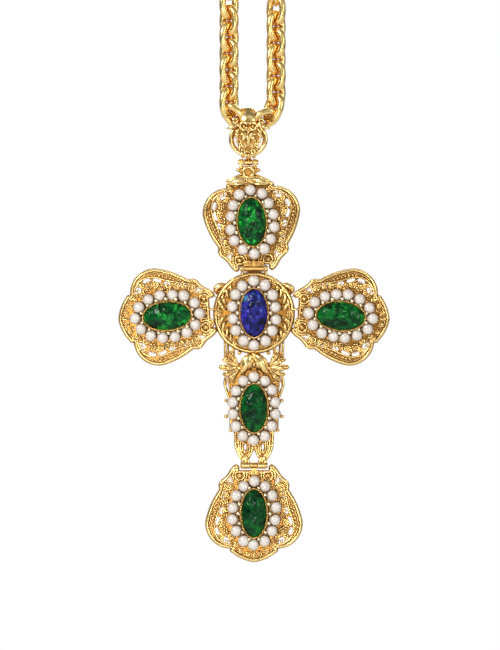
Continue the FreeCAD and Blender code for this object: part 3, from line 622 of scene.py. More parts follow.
def arm_half():
    """What is on one half of an arm's stamping, between the pearls and the rim."""
    half = Work()
    band_work(half)
    curls = [
        (6.7, 6.9, 0.95, 200, 1.5), (9.15, 6.75, 0.8, 100, -1.5), (9.1, 2.75, 0.95, 250, 1.6),
        (8.15, -0.9, 0.85, 60, -1.5), (8.5, -3.3, 0.95, 140, 1.5), (7.55, -7.5, 1.2, 30, -1.7),
        (7.75, -5.3, 0.7, 250, 1.4), (5.3, 9.0, 0.7, 20, 1.4),
    ]
    for curl in curls:
        half.curl(*curl, RAISED - 0.3, 0.24, 0.38)
    half.rosette(8.5, 4.9, 1.2, RAISED - 0.4)
    for flower in ((6.7, 7.9, 0.6), (8.9, 0.85, 0.75), (8.75, -1.9, 0.6)):
        half.rosette(*flower, RAISED - 0.1)
    for reach, wire_size, start, sweep in ((2.7, 0.28, 150, 200), (2.05, 0.31, 60, 320), (1.35, 0.29, 0, 350)):
        line = oval(reach, reach, 60, start, start + sweep) + (4.1, -10.9)
        line[:, 1] = np.maximum(line[:, 1], np.interp(line[:, 0], (4.4, 5.6), (-11.88, -13.8)))
        half.wire(line, RAISED - 0.1 - 0.2 * (2.75 - reach), wire_size)
    half.ball(4.1, RAISED - 0.45, -10.9, 0.66)
    half.line([(9.3, -5.9), (8.6, -4.6), (8.9, -3.0), (9.6, -1.6)], RAISED, 0.2)
    half.line([(10.6, 3.8), (9.9, 2.2), (9.3, 0.6), (8.2, 0.2)], RAISED, 0.22)
    half.line([(9.6, -0.6), (8.9, -1.1), (8.3, -2.3), (8.6, -3.9)], RAISED - 0.05, 0.2)
    half.line([(9.5, -8.7), (8.4, -9.3), (7.1, -9.0), (6.1, -8.2)], RAISED, 0.24)
    half.line([(8.7, -6.6), (9.1, -7.6), (9.1, -8.6)], RAISED, 0.22)
    half.leaf([(6.4, -8.9), (6.2, -10.2), (6.2, -11.8), (5.4, -12.8)], 0.42, RAISED)
    half.leaf([(7.3, 7.3), (8.0, 6.2), (9.6, 5.9), (10.2, 6.4)], 0.35, RAISED - 0.1)
    half.leaf([(8.0, 3.9), (9.6, 3.8), (10.4, 4.6)], 0.33, RAISED - 0.1)
    half.leaf([(7.9, 1.7), (7.9, 0.4), (8.4, -0.2)], 0.33, RAISED - 0.1)
    for x, z, radius in ((1.6, 11.9, 0.72), (3.75, 11.1, 0.68), (5.6, 10.3, 0.5)):
        half.curl(x, z, radius, 200, 1.4, RAISED - 0.25, 0.2, 0.34)
    for x, z in ((0.6, 12.7), (2.7, 12.0), (4.7, 11.1)):
        half.ball(x, RAISED - 0.1, z, 0.26)
    grains(half, [(7.1, 5.4), (7.5, 6.2), (9.9, 7.6), (10.2, 5.3), (10.4, 4.7), (8.2, 1.5),
                  (8.2, -4.6), (9.0, -5.2), (6.7, -6.5), (5.9, -7.6), (6.0, -6.9), (9.2, -9.0), (6.1, 8.1),
                  (1.0, -12.0), (1.9, -12.2), (1.0, -11.2), (2.0, -10.8), (2.9, 12.5), (5.2, 11.3)])
    return half


def grains(work, places):
    for x, z in places:
        work.ball(x, RAISED, z, 0.27, 1)


def with_left(holes):
    """The openings of the right half and their mirror images."""
    return [hole * (side, 1) for hole in holes for side in (1, -1)]


def granulation(work, wide, high):
    """Small balls and eyelets in a row just outside the pearls."""
    for k, spot in enumerate(even_count(wide, high, 44)):
        out = spot * (1 + 0.05 * math.sin(2.1 * k))
        if k % 3 == 0:
            work.wire(out + oval(0.42, 0.42, 16), GROUND - 0.25, 0.16, 6, True)
        else:
            work.ball(out[0], GROUND - 0.2, out[1], 0.3 + 0.06 * math.sin(3.7 * k), 1)


def arm_stamping():
    work = Work()
    edge = both_halves(ARM_HALF)
    work.plate(even(edge, 0.3, True), with_left(arm_openings()), PLATE_BACK, GROUND)
    work.plate(BACKING, [], PLATE_BACK - 0.2, PLATE_BACK - 1.2)
    work.wire(inset(edge, 0.3), RAISED - 0.15, 0.38, closed=True)
    work.wire(inset(edge, 0.95), RAISED, 0.16, closed=True)
    work.rope(edge, (PLATE_BACK + GROUND) / 2 + 0.1, 0.4)
    work.both(arm_half())
    granulation(work, 8.0, 10.9)
    work.ball(0, RAISED - 0.3, -11.2, 0.55)
    work.leaf([(0, 11.2), (0, 12.2), (0, 13.1)], 0.4, RAISED - 0.2)
    for x in (-9.5, 9.5):
        work.ball(x, RAISED, -8.9, 0.6)
    return work


# ---- medallion ----

DISC = 11.5


def ring(radius):
    return oval(radius, radius, 120)


def medallion_stamping():
    work = Work()
    holes = []
    for spoke in np.radians((22, 40, 58)):
        line = np.outer((8.9, 9.4, 9.9), (math.cos(spoke), math.sin(spoke)))
        holes += [pointed(line * (side, end), 0.6) for side, end in ((1, 1), (-1, 1), (1, -1), (-1, -1))]
    work.plate(ring(DISC), holes, PLATE_BACK, GROUND)
    work.plate(BACKING, [], PLATE_BACK - 0.2, PLATE_BACK - 1.2)
    work.wire(ring(DISC - 0.35), RAISED - 0.1, 0.42, 10, True)
    work.wire(ring(DISC - 1.2), RAISED - 0.1, 0.24, 8, True)
    work.wire(oval(11.85, 11.85, 24, -13.5, 13.5), 0.88, 0.25)
    work.rope(ring(DISC + 0.02), PLATE_BACK - 0.5, 0.4)
    for x, z in ((10.35, 0.2), (-10.35, 0.2), (5.4, 9.1), (-5.4, 9.1), (5.4, -8.7), (-5.4, -8.7)):
        work.rosette(x, z, 0.95, RAISED - 0.5)
        work.wire(ring(1.0) + (x, z), RAISED - 0.1, 0.18, 6, True)
    quarter = Work()
    leaves = [
        ([(7.6, 0.9), (8.9, 1.5), (9.7, 2.6), (9.3, 3.6)], 0.42),
        ([(7.6, 2.2), (8.7, 3.4), (9.1, 4.8), (8.3, 5.5)], 0.45),
        ([(7.2, 3.9), (7.7, 5.3), (7.9, 6.4), (7.2, 7.1)], 0.45),
        ([(6.6, 5.5), (6.7, 6.8), (6.8, 7.9), (6.3, 8.3)], 0.4),
        ([(9.9, 1.4), (10.1, 2.9), (9.6, 4.3)], 0.32),
        ([(9.3, 5.0), (8.7, 6.2), (7.8, 7.3)], 0.3),
    ]
    for points, width in leaves:
        quarter.leaf(points, width, RAISED - 0.35, rise=0.5)
    quarter.curl(9.4, 2.0, 0.6, 120, 1.3, RAISED - 0.1, 0.18, 0.24)
    quarter.curl(8.2, 6.2, 0.6, 60, -1.3, RAISED - 0.1, 0.18, 0.24)
    grains(quarter, [(8.2, 0.8), (8.4, 2.5), (7.9, 4.3), (9.8, 3.5), (7.2, 6.2), (8.9, 5.6), (7.4, 7.8),
                     (3.9, 10.2), (3.1, 10.6), (6.4, 7.3)])
    return work.both(quarter).both(quarter, up=-1)


# ---- shaft ----

SHAFT_BACK = low_high("shaft_filigree")[1][1]
SHAFT_TOP = SHAFT_BACK - 0.75
KNUCKLE = 0.95
LOWER_KNUCKLE = 0.92
SHAFT_HALF = [(0, 8.6), (8.2, 8.6), (11.8, 6.3, 2.6), (8.6, 3.6), (8.6, -12.4),
              (7.9, -14.0), (7.2, -16.0), (7.5, -18.4), (8.5, -20.6),
              (7.2, -24.6), (7.1, -33.4), (5.75, -34.8), (5.7, -38.0),
              (3.6, -42.6, 6.5), (1.75, -42.6), (0, -39.7)]


def shaft_stamping():
    """The long stamping behind the medallion: shoulders, side wires, balls and foot scrolls."""
    work = Work()
    window = np.array([(1.5, -10.5), (5.5, -10.5), (5.5, -14.4), (1.5, -14.4)])
    eye = oval(0.35, 0.9, 20) + (2.55, -38.9)
    slot = pointed(smooth([(7.2, -19.4), (7.7, -21.0), (7.1, -22.8)]), 0.6)
    side = np.array([(6.2, -8.2), (7.2, -7.4), (7.2, -11.6), (6.7, -12.4), (6.2, -11.2), (5.9, -9.6)])
    rift = np.array([(7.92, -7.2), (8.2, -7.2), (8.2, -12.6), (7.92, -12.4)])
    # a hair in front of the CAD plate's back, where the rivet's head is flush
    work.plate(even(both_halves(SHAFT_HALF), 0.3, True), with_left((window, eye, slot, side, rift)),
               SHAFT_BACK - 0.04, SHAFT_TOP)
    half = Work()
    y = SHAFT_TOP
    half.leaf([(7.4, 7.8), (9.4, 8.0), (11.0, 7.0), (10.9, 5.6)], 0.95, y, 0.8)
    half.leaf([(7.2, 6.4), (8.8, 6.5), (10.1, 5.6), (9.8, 4.5)], 0.8, y, 0.8)
    half.line([(8.6, 4.4), (8.55, -4), (8.45, -9), (8.4, -12.6)], y, 0.34)
    half.line([(7.7, -7.8), (7.6, -10.2), (7.9, -12.6)], y, 0.3)
    half.line([(6.9, -17.6), (8.1, -18.4), (8.5, -20.6), (7.6, -23.6), (6.9, -25.4)], y, 0.36)
    half.line([(6.6, -18.4), (7.2, -19.6), (7.1, -21.6), (6.6, -23.4)], y, 0.26)
    half.line([(6.9, -25.2), (6.8, -29), (6.7, -32.6), (5.9, -33.8)], y, 0.34)
    half.curl(6.15, -19.6, 0.8, 60, 1.4, y - 0.2, 0.24, 0.36)
    half.leaf([(5.2, -17.2), (5.6, -18.4), (5.4, -19.4)], 0.45, y - 0.1)
    half.leaf([(6.3, -20.8), (6.6, -21.8), (6.5, -22.8)], 0.36, y - 0.1)
    half.line([(5.45, -33.8), (5.4, -37.2), (4.9, -40.0), (3.5, -42.6)], y - 0.1, 0.36)
    half.line([(4.75, -34.2), (4.65, -37.0), (4.2, -39.4), (3.3, -41.4)], y - 0.2, 0.26)
    half.line([(1.65, -42.5), (0.9, -41.0), (0.3, -39.7)], y, 0.26)
    for x, z, radius in ((8.05, -25.4, 0.6), (8.1, -30.0, 0.6), (6.85, -34.0, 0.58)):
        half.tube([(x - 1.5, y, z), (x, y, z)], (0.45, 0.32))
        half.ball(x, y, z, radius)
    for wide, high, radius in ((2.05, 3.6, 0.3), (1.4, 2.9, 0.27), (0.8, 2.2, 0.24)):
        half.wire(oval(wide, high, 60) + (2.55, -38.6), y - 0.45 + 0.14 * wide, radius, 8, True)
    half.ball(2.65, y - 0.6, -40.3, 0.6)
    half.ball(2.55, y - 0.4, -37.7, 0.4)
    half.leaf([(1.3, -36.9), (2.2, -36.6), (3.6, -37.0)], 0.4, y - 0.2)
    # the scroll that comes out below the medallion and ends in a ball
    half.line([(7.0, -12.4), (6.6, -10.9), (5.4, -10.1), (4.2, -10.3), (3.7, -11.1)], PLATE_BACK - 0.3, 0.34)
    half.ball(4.2, PLATE_BACK - 0.5, -11.6, 0.58)
    half.line([(6.6, -13.4), (5.6, -14.9), (4.2, -16.0)], PLATE_BACK - 0.2, 0.3)
    work.both(half)
    work.wire([(0, -39.2), (0, -36.6)], y, 0.5)
    work.ball(0, y - 0.2, -39.0, 0.45)
    return work


PETALS = [((-7.0, -11.8), 0.78), ((-9.0, -13.4), 0.74), ((-9.9, -15.75), 0.95), ((-8.9, -17.9), 0.7),
          ((-7.3, -19.4), 0.66)]


def make_palmettes():
    """Five grooved petals at each side of the shaft, rooted by the lily."""
    root = np.array((-4.3, -16.0))
    front = PLATE_BACK - 1.0
    left = Work()
    for k, (tip, width) in enumerate(PETALS):
        way = tip - root
        bend = np.array((0, 0.25 * (2 - k)))
        line = np.array([root, root + 0.45 * way + bend, root + 0.8 * way + 0.6 * bend, tip])
        left.leaf(line, width, front + 0.35, 0.6, rise=0.35, blunt=0.5, lean=1.9)
        across = 0.62 * width * way[::-1] * (1, -1) / np.linalg.norm(way)
        for edge in (-1, 1):
            left.leaf(line[1:] * (0.99, 0.995) + edge * across, 0.22, front - 0.05, 1.0, 0.4, 0.35)
        left.leaf(line[1:], 0.2, front - 0.2, 1.0, 0.4, 0.35)
        bulb = root + 0.9 * way
        left.ball(bulb[0], front + 0.3, bulb[1], 0.82 * width, 3, (1, 0.7, 1))
    left.ball(root[0], front, root[1], 0.75, 2, (1, 0.7, 0.8))
    left.leaf([(-4.2, -16.4), (-5.6, -18.2), (-6.2, -19.8)], 0.45, front + 0.4)
    for side, name in ((1, "left"), (-1, "right")):
        Work().both(left, (side,)).piece(f"{name}_palmette", "cross", BRIGHT, [f"shaft_palmette_{name}"])


def make_lily():
    """The draped bloom between the palmettes."""
    work, half = Work(), Work()
    front = PLATE_BACK - 1.3
    half.leaf([(0.2, -11.7), (1.3, -12.9), (2.4, -14.9), (3.1, -17.6)], 1.25, front + 0.5, 0.75, 0.5, 0.42)
    half.leaf([(0.3, -11.9), (1.9, -12.8), (3.2, -14.3), (4.0, -15.9)], 0.85, front + 0.5, 0.75, 0.3, 0.42)
    half.leaf([(0.2, -12.6), (0.75, -13.9), (1.3, -15.2), (1.9, -16.6)], 0.6, front + 0.5, 0.75, 0.55, 0.42)
    half.leaf([(0.5, -13.6), (1.1, -15.0), (1.0, -16.6)], 0.7, front + 0.85, 0.7, 0.4, 0.4)
    half.leaf([(2.6, -15.8), (3.5, -16.9), (3.6, -18.2)], 0.6, front + 0.8, 0.7, 0.4)
    work.both(half)
    work.leaf([(0, -10.9), (0, -12.2), (0.1, -13.8)], 0.75, front + 0.2, 0.9, rise=0.3)
    work.leaf([(0, -13.4), (0, -14.6), (0, -16.0)], 0.5, front + 0.7, 0.9, 0.3)
    work.ball(0, front + 0.6, -11.2, 0.7)
    work.ball(1.9, front + 0.3, -15.6, 0.5)
    work.piece("lily", "cross", BRIGHT, ["shaft_lily"])


def make_ears():
    """The two flared ears that carry the bottom arm's pin."""
    work, half = Work(), Work()
    z = height("lower_hinge_pin")
    half.barrel(low_high("bottom_hinge_tab")[1][0] + 0.1, 3.6, LOWER_KNUCKLE, z)
    half.leaf([(3.7, z - 0.6), (3.2, z + 1.0), (2.9, z + 2.6)], 0.6, PLATE_BACK - 0.8, 0.9)
    half.leaf([(1.4, z - 0.3), (1.7, z + 1.2), (2.2, z + 2.6)], 0.5, PLATE_BACK - 0.8, 0.9)
    half.plate([(1.3, z), (1.7, z + 2.4), (3.0, z + 2.4), (3.6, z)], [], PLATE_BACK + 0.1, PLATE_BACK - 0.9)
    work.both(half)
    work.piece("hinge_ears", "cross", BRIGHT, ["lower_hinge_ears"])


def make_bottom_tab():
    """The bottom arm's knuckle, with a small arch of scrolls that spreads onto its stamping."""
    work, arch = Work(), Work()
    z = height("lower_hinge_pin")
    low, high = low_high("bottom_hinge_tab")
    foot = low[2] - MIDDLE_Z
    work.barrel(low[0], high[0], LOWER_KNUCKLE, z)
    work.plate([(-1.0, foot), (1.0, foot), (0.8, z - 0.6), (-0.8, z - 0.6)], [], 0.4, -0.45, 0.1)
    arch.leaf([(0.1, z - 1.2), (0.9, z - 1.7), (1.3, z - 2.6), (1.0, z - 3.4)], 0.32, -0.35)
    arch.curl(1.75, z - 2.3, 0.55, 200, 1.3, -0.25, 0.2, 0.28)
    work.both(arch)
    work.leaf([(0, z - 1.3), (0, z - 2.2), (0, z - 3.0)], 0.3, -0.5)
    # painted shade: the knuckle takes the darker gold
    work.piece("bottom_tab_arch", "bottom_arm", SHADED_GOLD, ["bottom_hinge_tab"])


def make_upper_hinge():
    """The folded tab on the top arm and the two lugs on the medallion that share its pin."""
    tab, fold, lugs, lug = Work(), Work(), Work(), Work()
    z = height("upper_hinge_pin")
    low, high = low_high("top_hinge_tab")
    top = high[2] - MIDDLE_Z
    tab.barrel(low[0], high[0], KNUCKLE, z)
    half = [(0, top - 0.4), (1.3, top), (2.5, top - 0.2), (2.9, top - 1.2),
            (2.8, z + 0.62), (0, z + 0.62)]
    tab.plate(both_halves(half), [], -0.15, -0.85, 0.1)
    fold.leaf([(0.1, top - 0.9), (1.3, top - 0.5), (2.4, top - 0.7), (2.9, top - 1.5)], 0.42, -0.95)
    fold.leaf([(0.2, z + 0.9), (1.4, z + 1.05), (2.7, z + 0.75)], 0.3, -0.95)
    fold.ball(2.75, -0.8, z + 0.9, 0.4)
    fold.curl(0.9, top - 1.2, 0.5, 90, 1.2, -0.9, 0.14, 0.2)
    tab.both(fold)
    # painted shade: the fold takes the darker gold
    tab.piece("top_hinge_fold", "top_arm", SHADED_GOLD, ["top_hinge_tab"])
    start, end = high[0] + 0.1, low_high("medallion_hinge_lugs")[1][0]
    x = (start + end) / 2
    lug.barrel(start, end, KNUCKLE, z)
    lug.tube([(x, 0.1, z - 0.6), (x, 0.1, z - 1.6), (x, 0.3, z - 2.4)], (0.42, 0.45, 0.4), 10)
    lugs.both(lug)
    lugs.piece("medallion_lugs", "cross", BRIGHT, ["medallion_hinge_lugs"])


def make_side_bars():
    """The bar and scrolls that join each side arm to the medallion."""
    half = Work()
    half.tube([(14.4, 0.45, 1.1), (11.1, 0.3, 1.1)], 0.34, 10)
    half.leaf([(14.6, 5.4), (13.4, 5.9), (12.0, 5.6), (11.1, 4.6)], 0.42, 0.4)
    half.leaf([(14.5, 4.6), (13.2, 4.4), (12.1, 4.9)], 0.3, 0.35)
    half.ball(12.75, 0.35, -3.1, 1.35, 3, (0.95, 0.5, 1.25))
    half.curl(12.75, -3.0, 1.25, 60, 1.3, -0.2, 0.26, 0.42)
    half.leaf([(14.4, -1.6), (13.6, -1.0), (12.4, -1.1)], 0.4, 0.2)
    half.leaf([(14.3, -4.8), (13.3, -5.2), (12.2, -4.9)], 0.4, 0.2)
    Work().both(half).piece("side_bars", "cross", FILIGREE, slot="filigree_gold")


# ---- neck and bail ----


def make_neck():
    """The shield on the top arm: a framed oval recess over a flared, faceted skirt."""
    work, side = Work(), Work()
    front = low_high("neck_plaque")[0][1]
    x = middle("neck_pin")[0]
    place = from_medallion(x, height("neck_pin"))
    half = [(0, -1.15), (1.4, -1.15), (1.45, -0.3), (2.5, -0.3), (2.55, -1.5),
            (3.0, -2.4), (2.3, -3.3), (4.0, -4.3),
            (6.1, -5.3), (5.7, -6.5), (2.6, -7.0, -8.0), (0, -6.8)]
    work.plate(both_halves(half), [], -front - 1.6, front + 0.8, 0.2)
    side.leaf([(0.2, -4.5), (2.0, -4.9), (4.2, -5.5), (6.0, -5.7)], 1.05, front + 0.6, 0.45, 0.25, 0.3)
    side.leaf([(0.4, -5.8), (2.0, -6.2), (3.8, -6.3), (5.6, -6.2)], 0.6, front + 0.6, 0.6, 0.25, 0.3)
    side.leaf([(1.9, -3.4), (3.0, -4.0), (4.4, -4.7), (6.0, -5.3)], 0.34, front + 0.6, 0.9, 0.25, 0.3)
    side.ball(2.95, front + 0.6, -2.3, 0.62)
    side.ball(5.75, front + 0.5, -5.4, 0.5)
    side.barrel(low_high("bail_knuckle")[1][0] - x + 0.1, 2.65, KNUCKLE, 0)
    side.tube([(1.95, 0.1, -0.6), (2.0, front + 1.0, -1.6)], 0.5, 10)
    work.both(side)
    work.wire(oval(1.5, 1.45, 48) + (0, -2.95), front + 0.35, 0.44, 12, True)
    work.ball(0, front + 0.35, -5.35, 0.34)
    work.wire(oval(0.55, 0.55, 24) + (0, -5.35), front + 0.35, 0.18, 6, True)
    work.piece("neck_shield", "top_arm", BRIGHT, ["neck_plaque"], place)
    # painted shade: a dark gold plate set in the oval recess
    recess = Work()
    recess.plate(oval(1.3, 1.25, 40) + (0, -2.95), [], front + 0.95, front + 0.7, 0.1)
    recess.piece("neck_recess_shade", "top_arm", RECESS_SHADE_GOLD, place=place)


def make_bail():
    """Ring, palmette, strap and knuckle of the bail."""
    front = low_high("bail_ring")[0][1]
    z = height("bail_ring")
    place = from_medallion(middle("bail_ring")[0], z)

    ornament, half = Work(), Work()
    y = front - 0.3
    half.leaf([(2.4, 4.0), (3.6, 3.9), (5.0, 3.3), (6.2, 2.9)], 0.6, y, 0.8, 0.2)
    half.wire(oval(0.62, 0.62, 24) + (3.75, 5.2), y, 0.3, 8, True)
    half.line([(3.5, 4.6), (3.0, 4.0), (2.5, 3.6)], y, 0.36)
    half.wire(oval(1.0, 1.05, 40, 300, 600) + (1.35, 3.75), y - 0.1, 0.3, 9)
    half.ball(1.3, y - 0.1, 3.65, 0.42)
    half.line([(0.2, 2.7), (1.0, 2.45), (2.0, 2.7), (2.6, 3.5)], y, 0.28)
    petals = [([(0.1, 1.3), (1.0, 0.6), (1.95, -0.6)], 0.72), ([(0.2, 1.5), (1.5, 1.3), (2.5, 1.5)], 0.42),
              ([(2.5, 3.0), (3.3, 2.2), (3.6, 1.2)], 0.5), ([(2.4, 1.6), (3.4, 1.0), (3.7, 0.1)], 0.5)]
    for points, width in petals:
        half.leaf(points, width, y, 0.9, 0.35, 0.45)
    half.leaf([(3.1, 0.0), (2.7, -1.3), (2.5, -2.6), (2.6, -3.7)], 0.42, y + 0.4, 0.9)
    half.leaf([(2.2, -0.6), (2.0, -1.8), (1.5, -2.8)], 0.34, y + 0.4, 0.9)
    half.wire(oval(0.55, 0.6, 24) + (1.45, -3.7), y, 0.3, 8, True)
    half.ball(3.3, y, -0.75, 0.42)
    half.ball(2.05, y - 0.1, -0.55, 0.34)
    ornament.both(half)
    ornament.leaf([(0, 1.7), (0, 0.3), (0, -2.0)], 0.68, y - 0.15, 0.9, 0.4, 0.5)
    ornament.wire(oval(0.3, 0.3, 20) + (0, 2.15), y - 0.1, 0.2, 7, True)
    ornament.leaf([(-1.0, -3.6), (0, -3.75), (1.0, -3.6)], 0.22, y)
    ornament.ball(0, y, -4.55, 0.36)
    ornament.plate(both_halves([(0, 3.0), (2.4, 3.2), (3.1, 1.8), (3.2, 0.0),
                                (2.4, -1.0), (2.8, -3.0), (2.4, -4.2), (0, -4.7)]),
                   [oval(0.95, 0.5, 20) + (0, -2.75)], front + 0.5, front + 0.2, 0.08)
    ornament.piece("bail_leafwork", "bail", BRIGHT, ["bail_palmette"], place)
    # painted shade: a dark gold plate in the hollow of the leafwork
    hollow = Work()
    hollow.plate(oval(1.3, 0.8, 20) + (0, -2.75), [], front + 0.8, front + 0.55, 0.05)
    hollow.piece("bail_recess_shade", "bail", RECESS_SHADE_GOLD, place=place)

    hoop = Work()
    line = oval(5.05, 4.65, 120)
    hoop.wire(line, front + 0.45, 0.55, 12, True)
    hoop.wire(line, front + 1.3, 0.5, 12, True)
    hoop.tube(lifted(line, front + 2.05 - 0.075 * line[:, 1]), 0.42, 12, True, 2.7)
    hoop.wire(oval(5.4, 5.0, 120), front + 0.35, 0.2, 8, True)
    hoop.wire(oval(4.55, 4.15, 120), front + 1.0, 0.42, 10, True)
    hoop.piece("bail_hoop", "bail", BRIGHT, ["bail_ring"], place)

    strap = Work()
    low, high = low_high("bail_strap")
    outer = (high[2] - low[2]) / 2
    wide = (high[0] - low[0]) / 2 + 0.25
    crown = [(part * wide, outer - 0.05 - 0.5 * part * part) for part in np.linspace(-1, 1, 15)]
    strap.turned([(-wide, outer - 0.62), *crown, (wide, outer - 0.62), (wide - 0.1, outer - 0.7),
                  (-wide + 0.1, outer - 0.7)], steps=96)
    strap.piece("bail_band", "bail", BRIGHT, ["bail_strap"],
                Matrix.Scale(MM, 4) @ Matrix.Translation(middle("bail_strap")))

    foot = Work()
    low, high = low_high("bail_knuckle")
    reach = (high[0] - low[0]) / 2 - 0.05
    pin = height("neck_pin") - z
    foot.barrel(-reach, reach, KNUCKLE, pin)
    foot.tube([(0, front + 3.0, -4.7), (0, -1.4, -4.95), (0, -0.5, -5.2), (0, -0.1, pin + 1.2)], 0.75, 14)
    for x in (-1.6, 1.6):
        foot.tube([(x, front + 3.0, -4.55), (x, -1.5, -4.8), (x, -0.3, -4.85)], 0.5, 10)
    for k in range(4):
        foot.ball(0, -1.0 - 0.1 * k, pin + 0.3 + 0.6 * k, 0.36)
    foot.piece("bail_foot", "bail", BRIGHT, ["bail_knuckle"], place)


# ---- chain ----


def loose_parts(node):
    """The points of each separate solid of a CAD node, in millimetres."""
    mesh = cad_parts[node].data
    points = np.array([v.co for v in mesh.vertices]) / MM
    same = np.unique(np.round(points, 4), axis=0, return_inverse=True)[1].ravel()
    edges = same[np.array([e.vertices for e in mesh.edges])]
    label = np.arange(same.max() + 1)
    while True:
        lowest = label.copy()
        np.minimum.at(lowest, edges[:, 0], label[edges[:, 1]])
        np.minimum.at(lowest, edges[:, 1], label[edges[:, 0]])
        lowest = lowest[lowest]
        if (lowest == label).all():
            break
        label = lowest
    owner = label[same]
    return [points[owner == k] for k in np.unique(owner)]


def axes_of(points):
    """Middle of a flat oval link, and its long, thin and wide axes as a right-handed set."""
    centre = (points.min(axis=0) + points.max(axis=0)) / 2
    long_, wide, _ = np.linalg.svd(points - centre, full_matrices=False)[2]
    return centre, np.array([long_, np.cross(wide, long_), wide])


def link_mesh(long_, wide, side_wire, end_wire):
    """A link of round wire, thicker in its bends, long along x and wide along z."""
    across = wide / 2 - side_wire
    reach = long_ / 2 - end_wire
    angles = np.radians(np.arange(0, 360, 6))
    turn = np.cos(angles)
    straight = across * turn + (reach - across) * np.tanh(3 * turn) / math.tanh(3)
    line = np.column_stack([0.35 * straight + 0.65 * reach * turn, across * np.sin(angles)])
    part = np.clip((np.abs(turn) - 0.25) / 0.65, 0, 1)
    work = Work()
    work.tube(lifted(line, 0), side_wire + (end_wire - side_wire) * part * part * (3 - 2 * part), 18, True)
    return work.points[0], work.triangles[0]


def make_chain():
    link, triangles = link_mesh(9.5, 7.1, 0.97, 1.2)
    for node in ("chain_left", "chain_cradle", "chain_right"):
        work = Work()
        for points in loose_parts(node):
            centre, axes = axes_of(points)
            work.add(link @ axes + centre, triangles)
        work.piece(f"{node}_links", "chain", CHAIN, [node], Matrix.Scale(MM, 4), "chain_gold")


# ---- stones, cups and pearls ----

STONE_HALF = (4.05, 6.85)
CUP_WIDE, CUP_LONG = 4.5, 7.35
PEARL_OVAL = (6.2, 9.2)
PEARL_RADIUS = 1.72


def stone_mesh(wide, long_, back, front, seed):
    """A pressed cabochon: a dome with a wavy, carved face and a low girdle."""
    rings, spokes = 44, 104
    girdle = 0.55
    points = []
    for reach in np.sin(math.pi / 2 * np.arange(rings + 1) / rings):
        dome = math.sqrt(max(1 - (0.985 * reach) ** 2, 0))
        for angle in 2 * math.pi * np.arange(spokes) / spokes:
            x, z = wide * reach * math.sin(angle), long_ * reach * math.cos(angle)
            spot = Vector((0.42 * x + seed, 0.42 * z, seed))
            fold = abs(noise.noise(spot + 0.6 * noise.noise_vector(spot)))
            carved = (0.5 - fold) * 0.55 + 0.16 * noise.noise(spot * 3.1)
            y = back - girdle - (back - front - girdle - 0.1) * dome - 0.9 * carved * dome ** 1.5 + 0.25 * dome
            points.append((x, y, z))
    foot = np.array(points[-spokes:]) * (1, 0, 1) + (0, back, 0)
    return capped(np.vstack([points[spokes:], foot]), spokes, points[0], (0, back, 0))


def make_stone(unit, seed):
    low, high = low_high(f"{unit}_stone")
    glass, slot = (LAPIS, "lapis_glass") if unit == "medallion" else (EMERALD, "emerald_glass")
    work = Work()
    work.add(*stone_mesh(STONE_HALF[0] * STONE_WIDTH[unit], STONE_HALF[1], high[1], low[1], seed))
    work.piece(f"{unit}_cabochon", BODY[unit], glass, [f"{unit}_stone"], placing(unit), slot)


def make_crown(unit):
    """The stone's cup: a rolled wall with a crown of beads that holds the girdle."""
    low, high = low_high(f"{unit}_setting")
    back, front = high[1], low[1]
    wide = CUP_WIDE - STONE_HALF[0] * (1 - STONE_WIDTH[unit])
    long_ = CUP_LONG
    work, beads = Work(), Work()
    work.plate(oval(wide, long_), [], back, back - 0.5, 0.1)
    work.plate(oval(wide, long_), [oval(wide - 0.55, long_ - 0.5)], back - 0.3, front + 0.2, 0.1)
    work.wire(oval(wide + 0.1, long_ + 0.1), back - 0.35, 0.3, closed=True)
    work.rope(oval(wide - 0.15, long_ - 0.15), front + 0.05, 0.24, 0.8)
    work.piece(f"{unit}_crown", BODY[unit], BRIGHT, [f"{unit}_setting"], placing(unit))
    for k, (x, z) in enumerate(even_count(wide + 0.42, long_ + 0.36, 28)[1::2]):
        beads.ball(x, front - 0.75, z, 0.54 + 0.07 * math.sin(7.3 * k + wide))
    # painted highlight: the beads take the paler gold
    beads.piece(f"{unit}_crown_beads", BODY[unit], LIT_BEAD_GOLD, place=placing(unit))


def make_pearls(unit, seed):
    """Fourteen pearls, none quite round or quite evenly set."""
    work = Work()
    y = low_high(f"{unit}_pearls")[1][1] - PEARL_RADIUS + 0.15
    random = np.random.default_rng(seed)
    for x, z in even_count(*PEARL_OVAL, 14):
        shift = np.clip(random.normal(0, 0.11, 2), -0.2, 0.2)
        size = PEARL_RADIUS * random.uniform(0.975, 1.01)
        stretch = 1 + random.normal(0, 0.012, 3)
        work.ball(x + shift[0], y, z + shift[1], size, 3, stretch)
    work.piece(f"{unit}_pearl_ring", BODY[unit], PEARL, [f"{unit}_pearls"], placing(unit), "pearl")


# ---- stage, light and camera ----

FRAME_HIGH = 188.4
VIEW_MIDDLE = (-1.16, -3.48)
LENS = 200.0
SENSOR = 36.0


def make_camera():
    data = bpy.data.cameras.new("camera")
    data.lens = LENS
    data.sensor_width = SENSOR
    data.clip_start = 0.05
    data.clip_end = 50
    camera = placed("camera", data)
    x, z = VIEW_MIDDLE
    camera.location = Vector((x, -FRAME_HIGH * LENS / SENSOR, MIDDLE_Z + z)) * MM
    camera.rotation_euler = (math.pi / 2, 0, 0)
    bpy.context.scene.camera = camera


def make_stage():
    """A pale round floor well below the pendant, just out of the picture's reach."""
    size = 1.3
    drop = CAD_BOX[0].z - 0.16
    mesh = bpy.data.meshes.new("floor")
    rim = oval(size, size, 96)[::-1]
    mesh.from_pydata([(x, y, drop) for x, y in rim], [], [range(len(rim))])
    made = Surface("pale_floor")
    made.set(Base_Color=made.ramp(made.noise(0.002), (0.3, 0.93), (0.7, 0.96)), Roughness=0.9)
    mesh.materials.append(made.material)
    placed("floor", mesh)


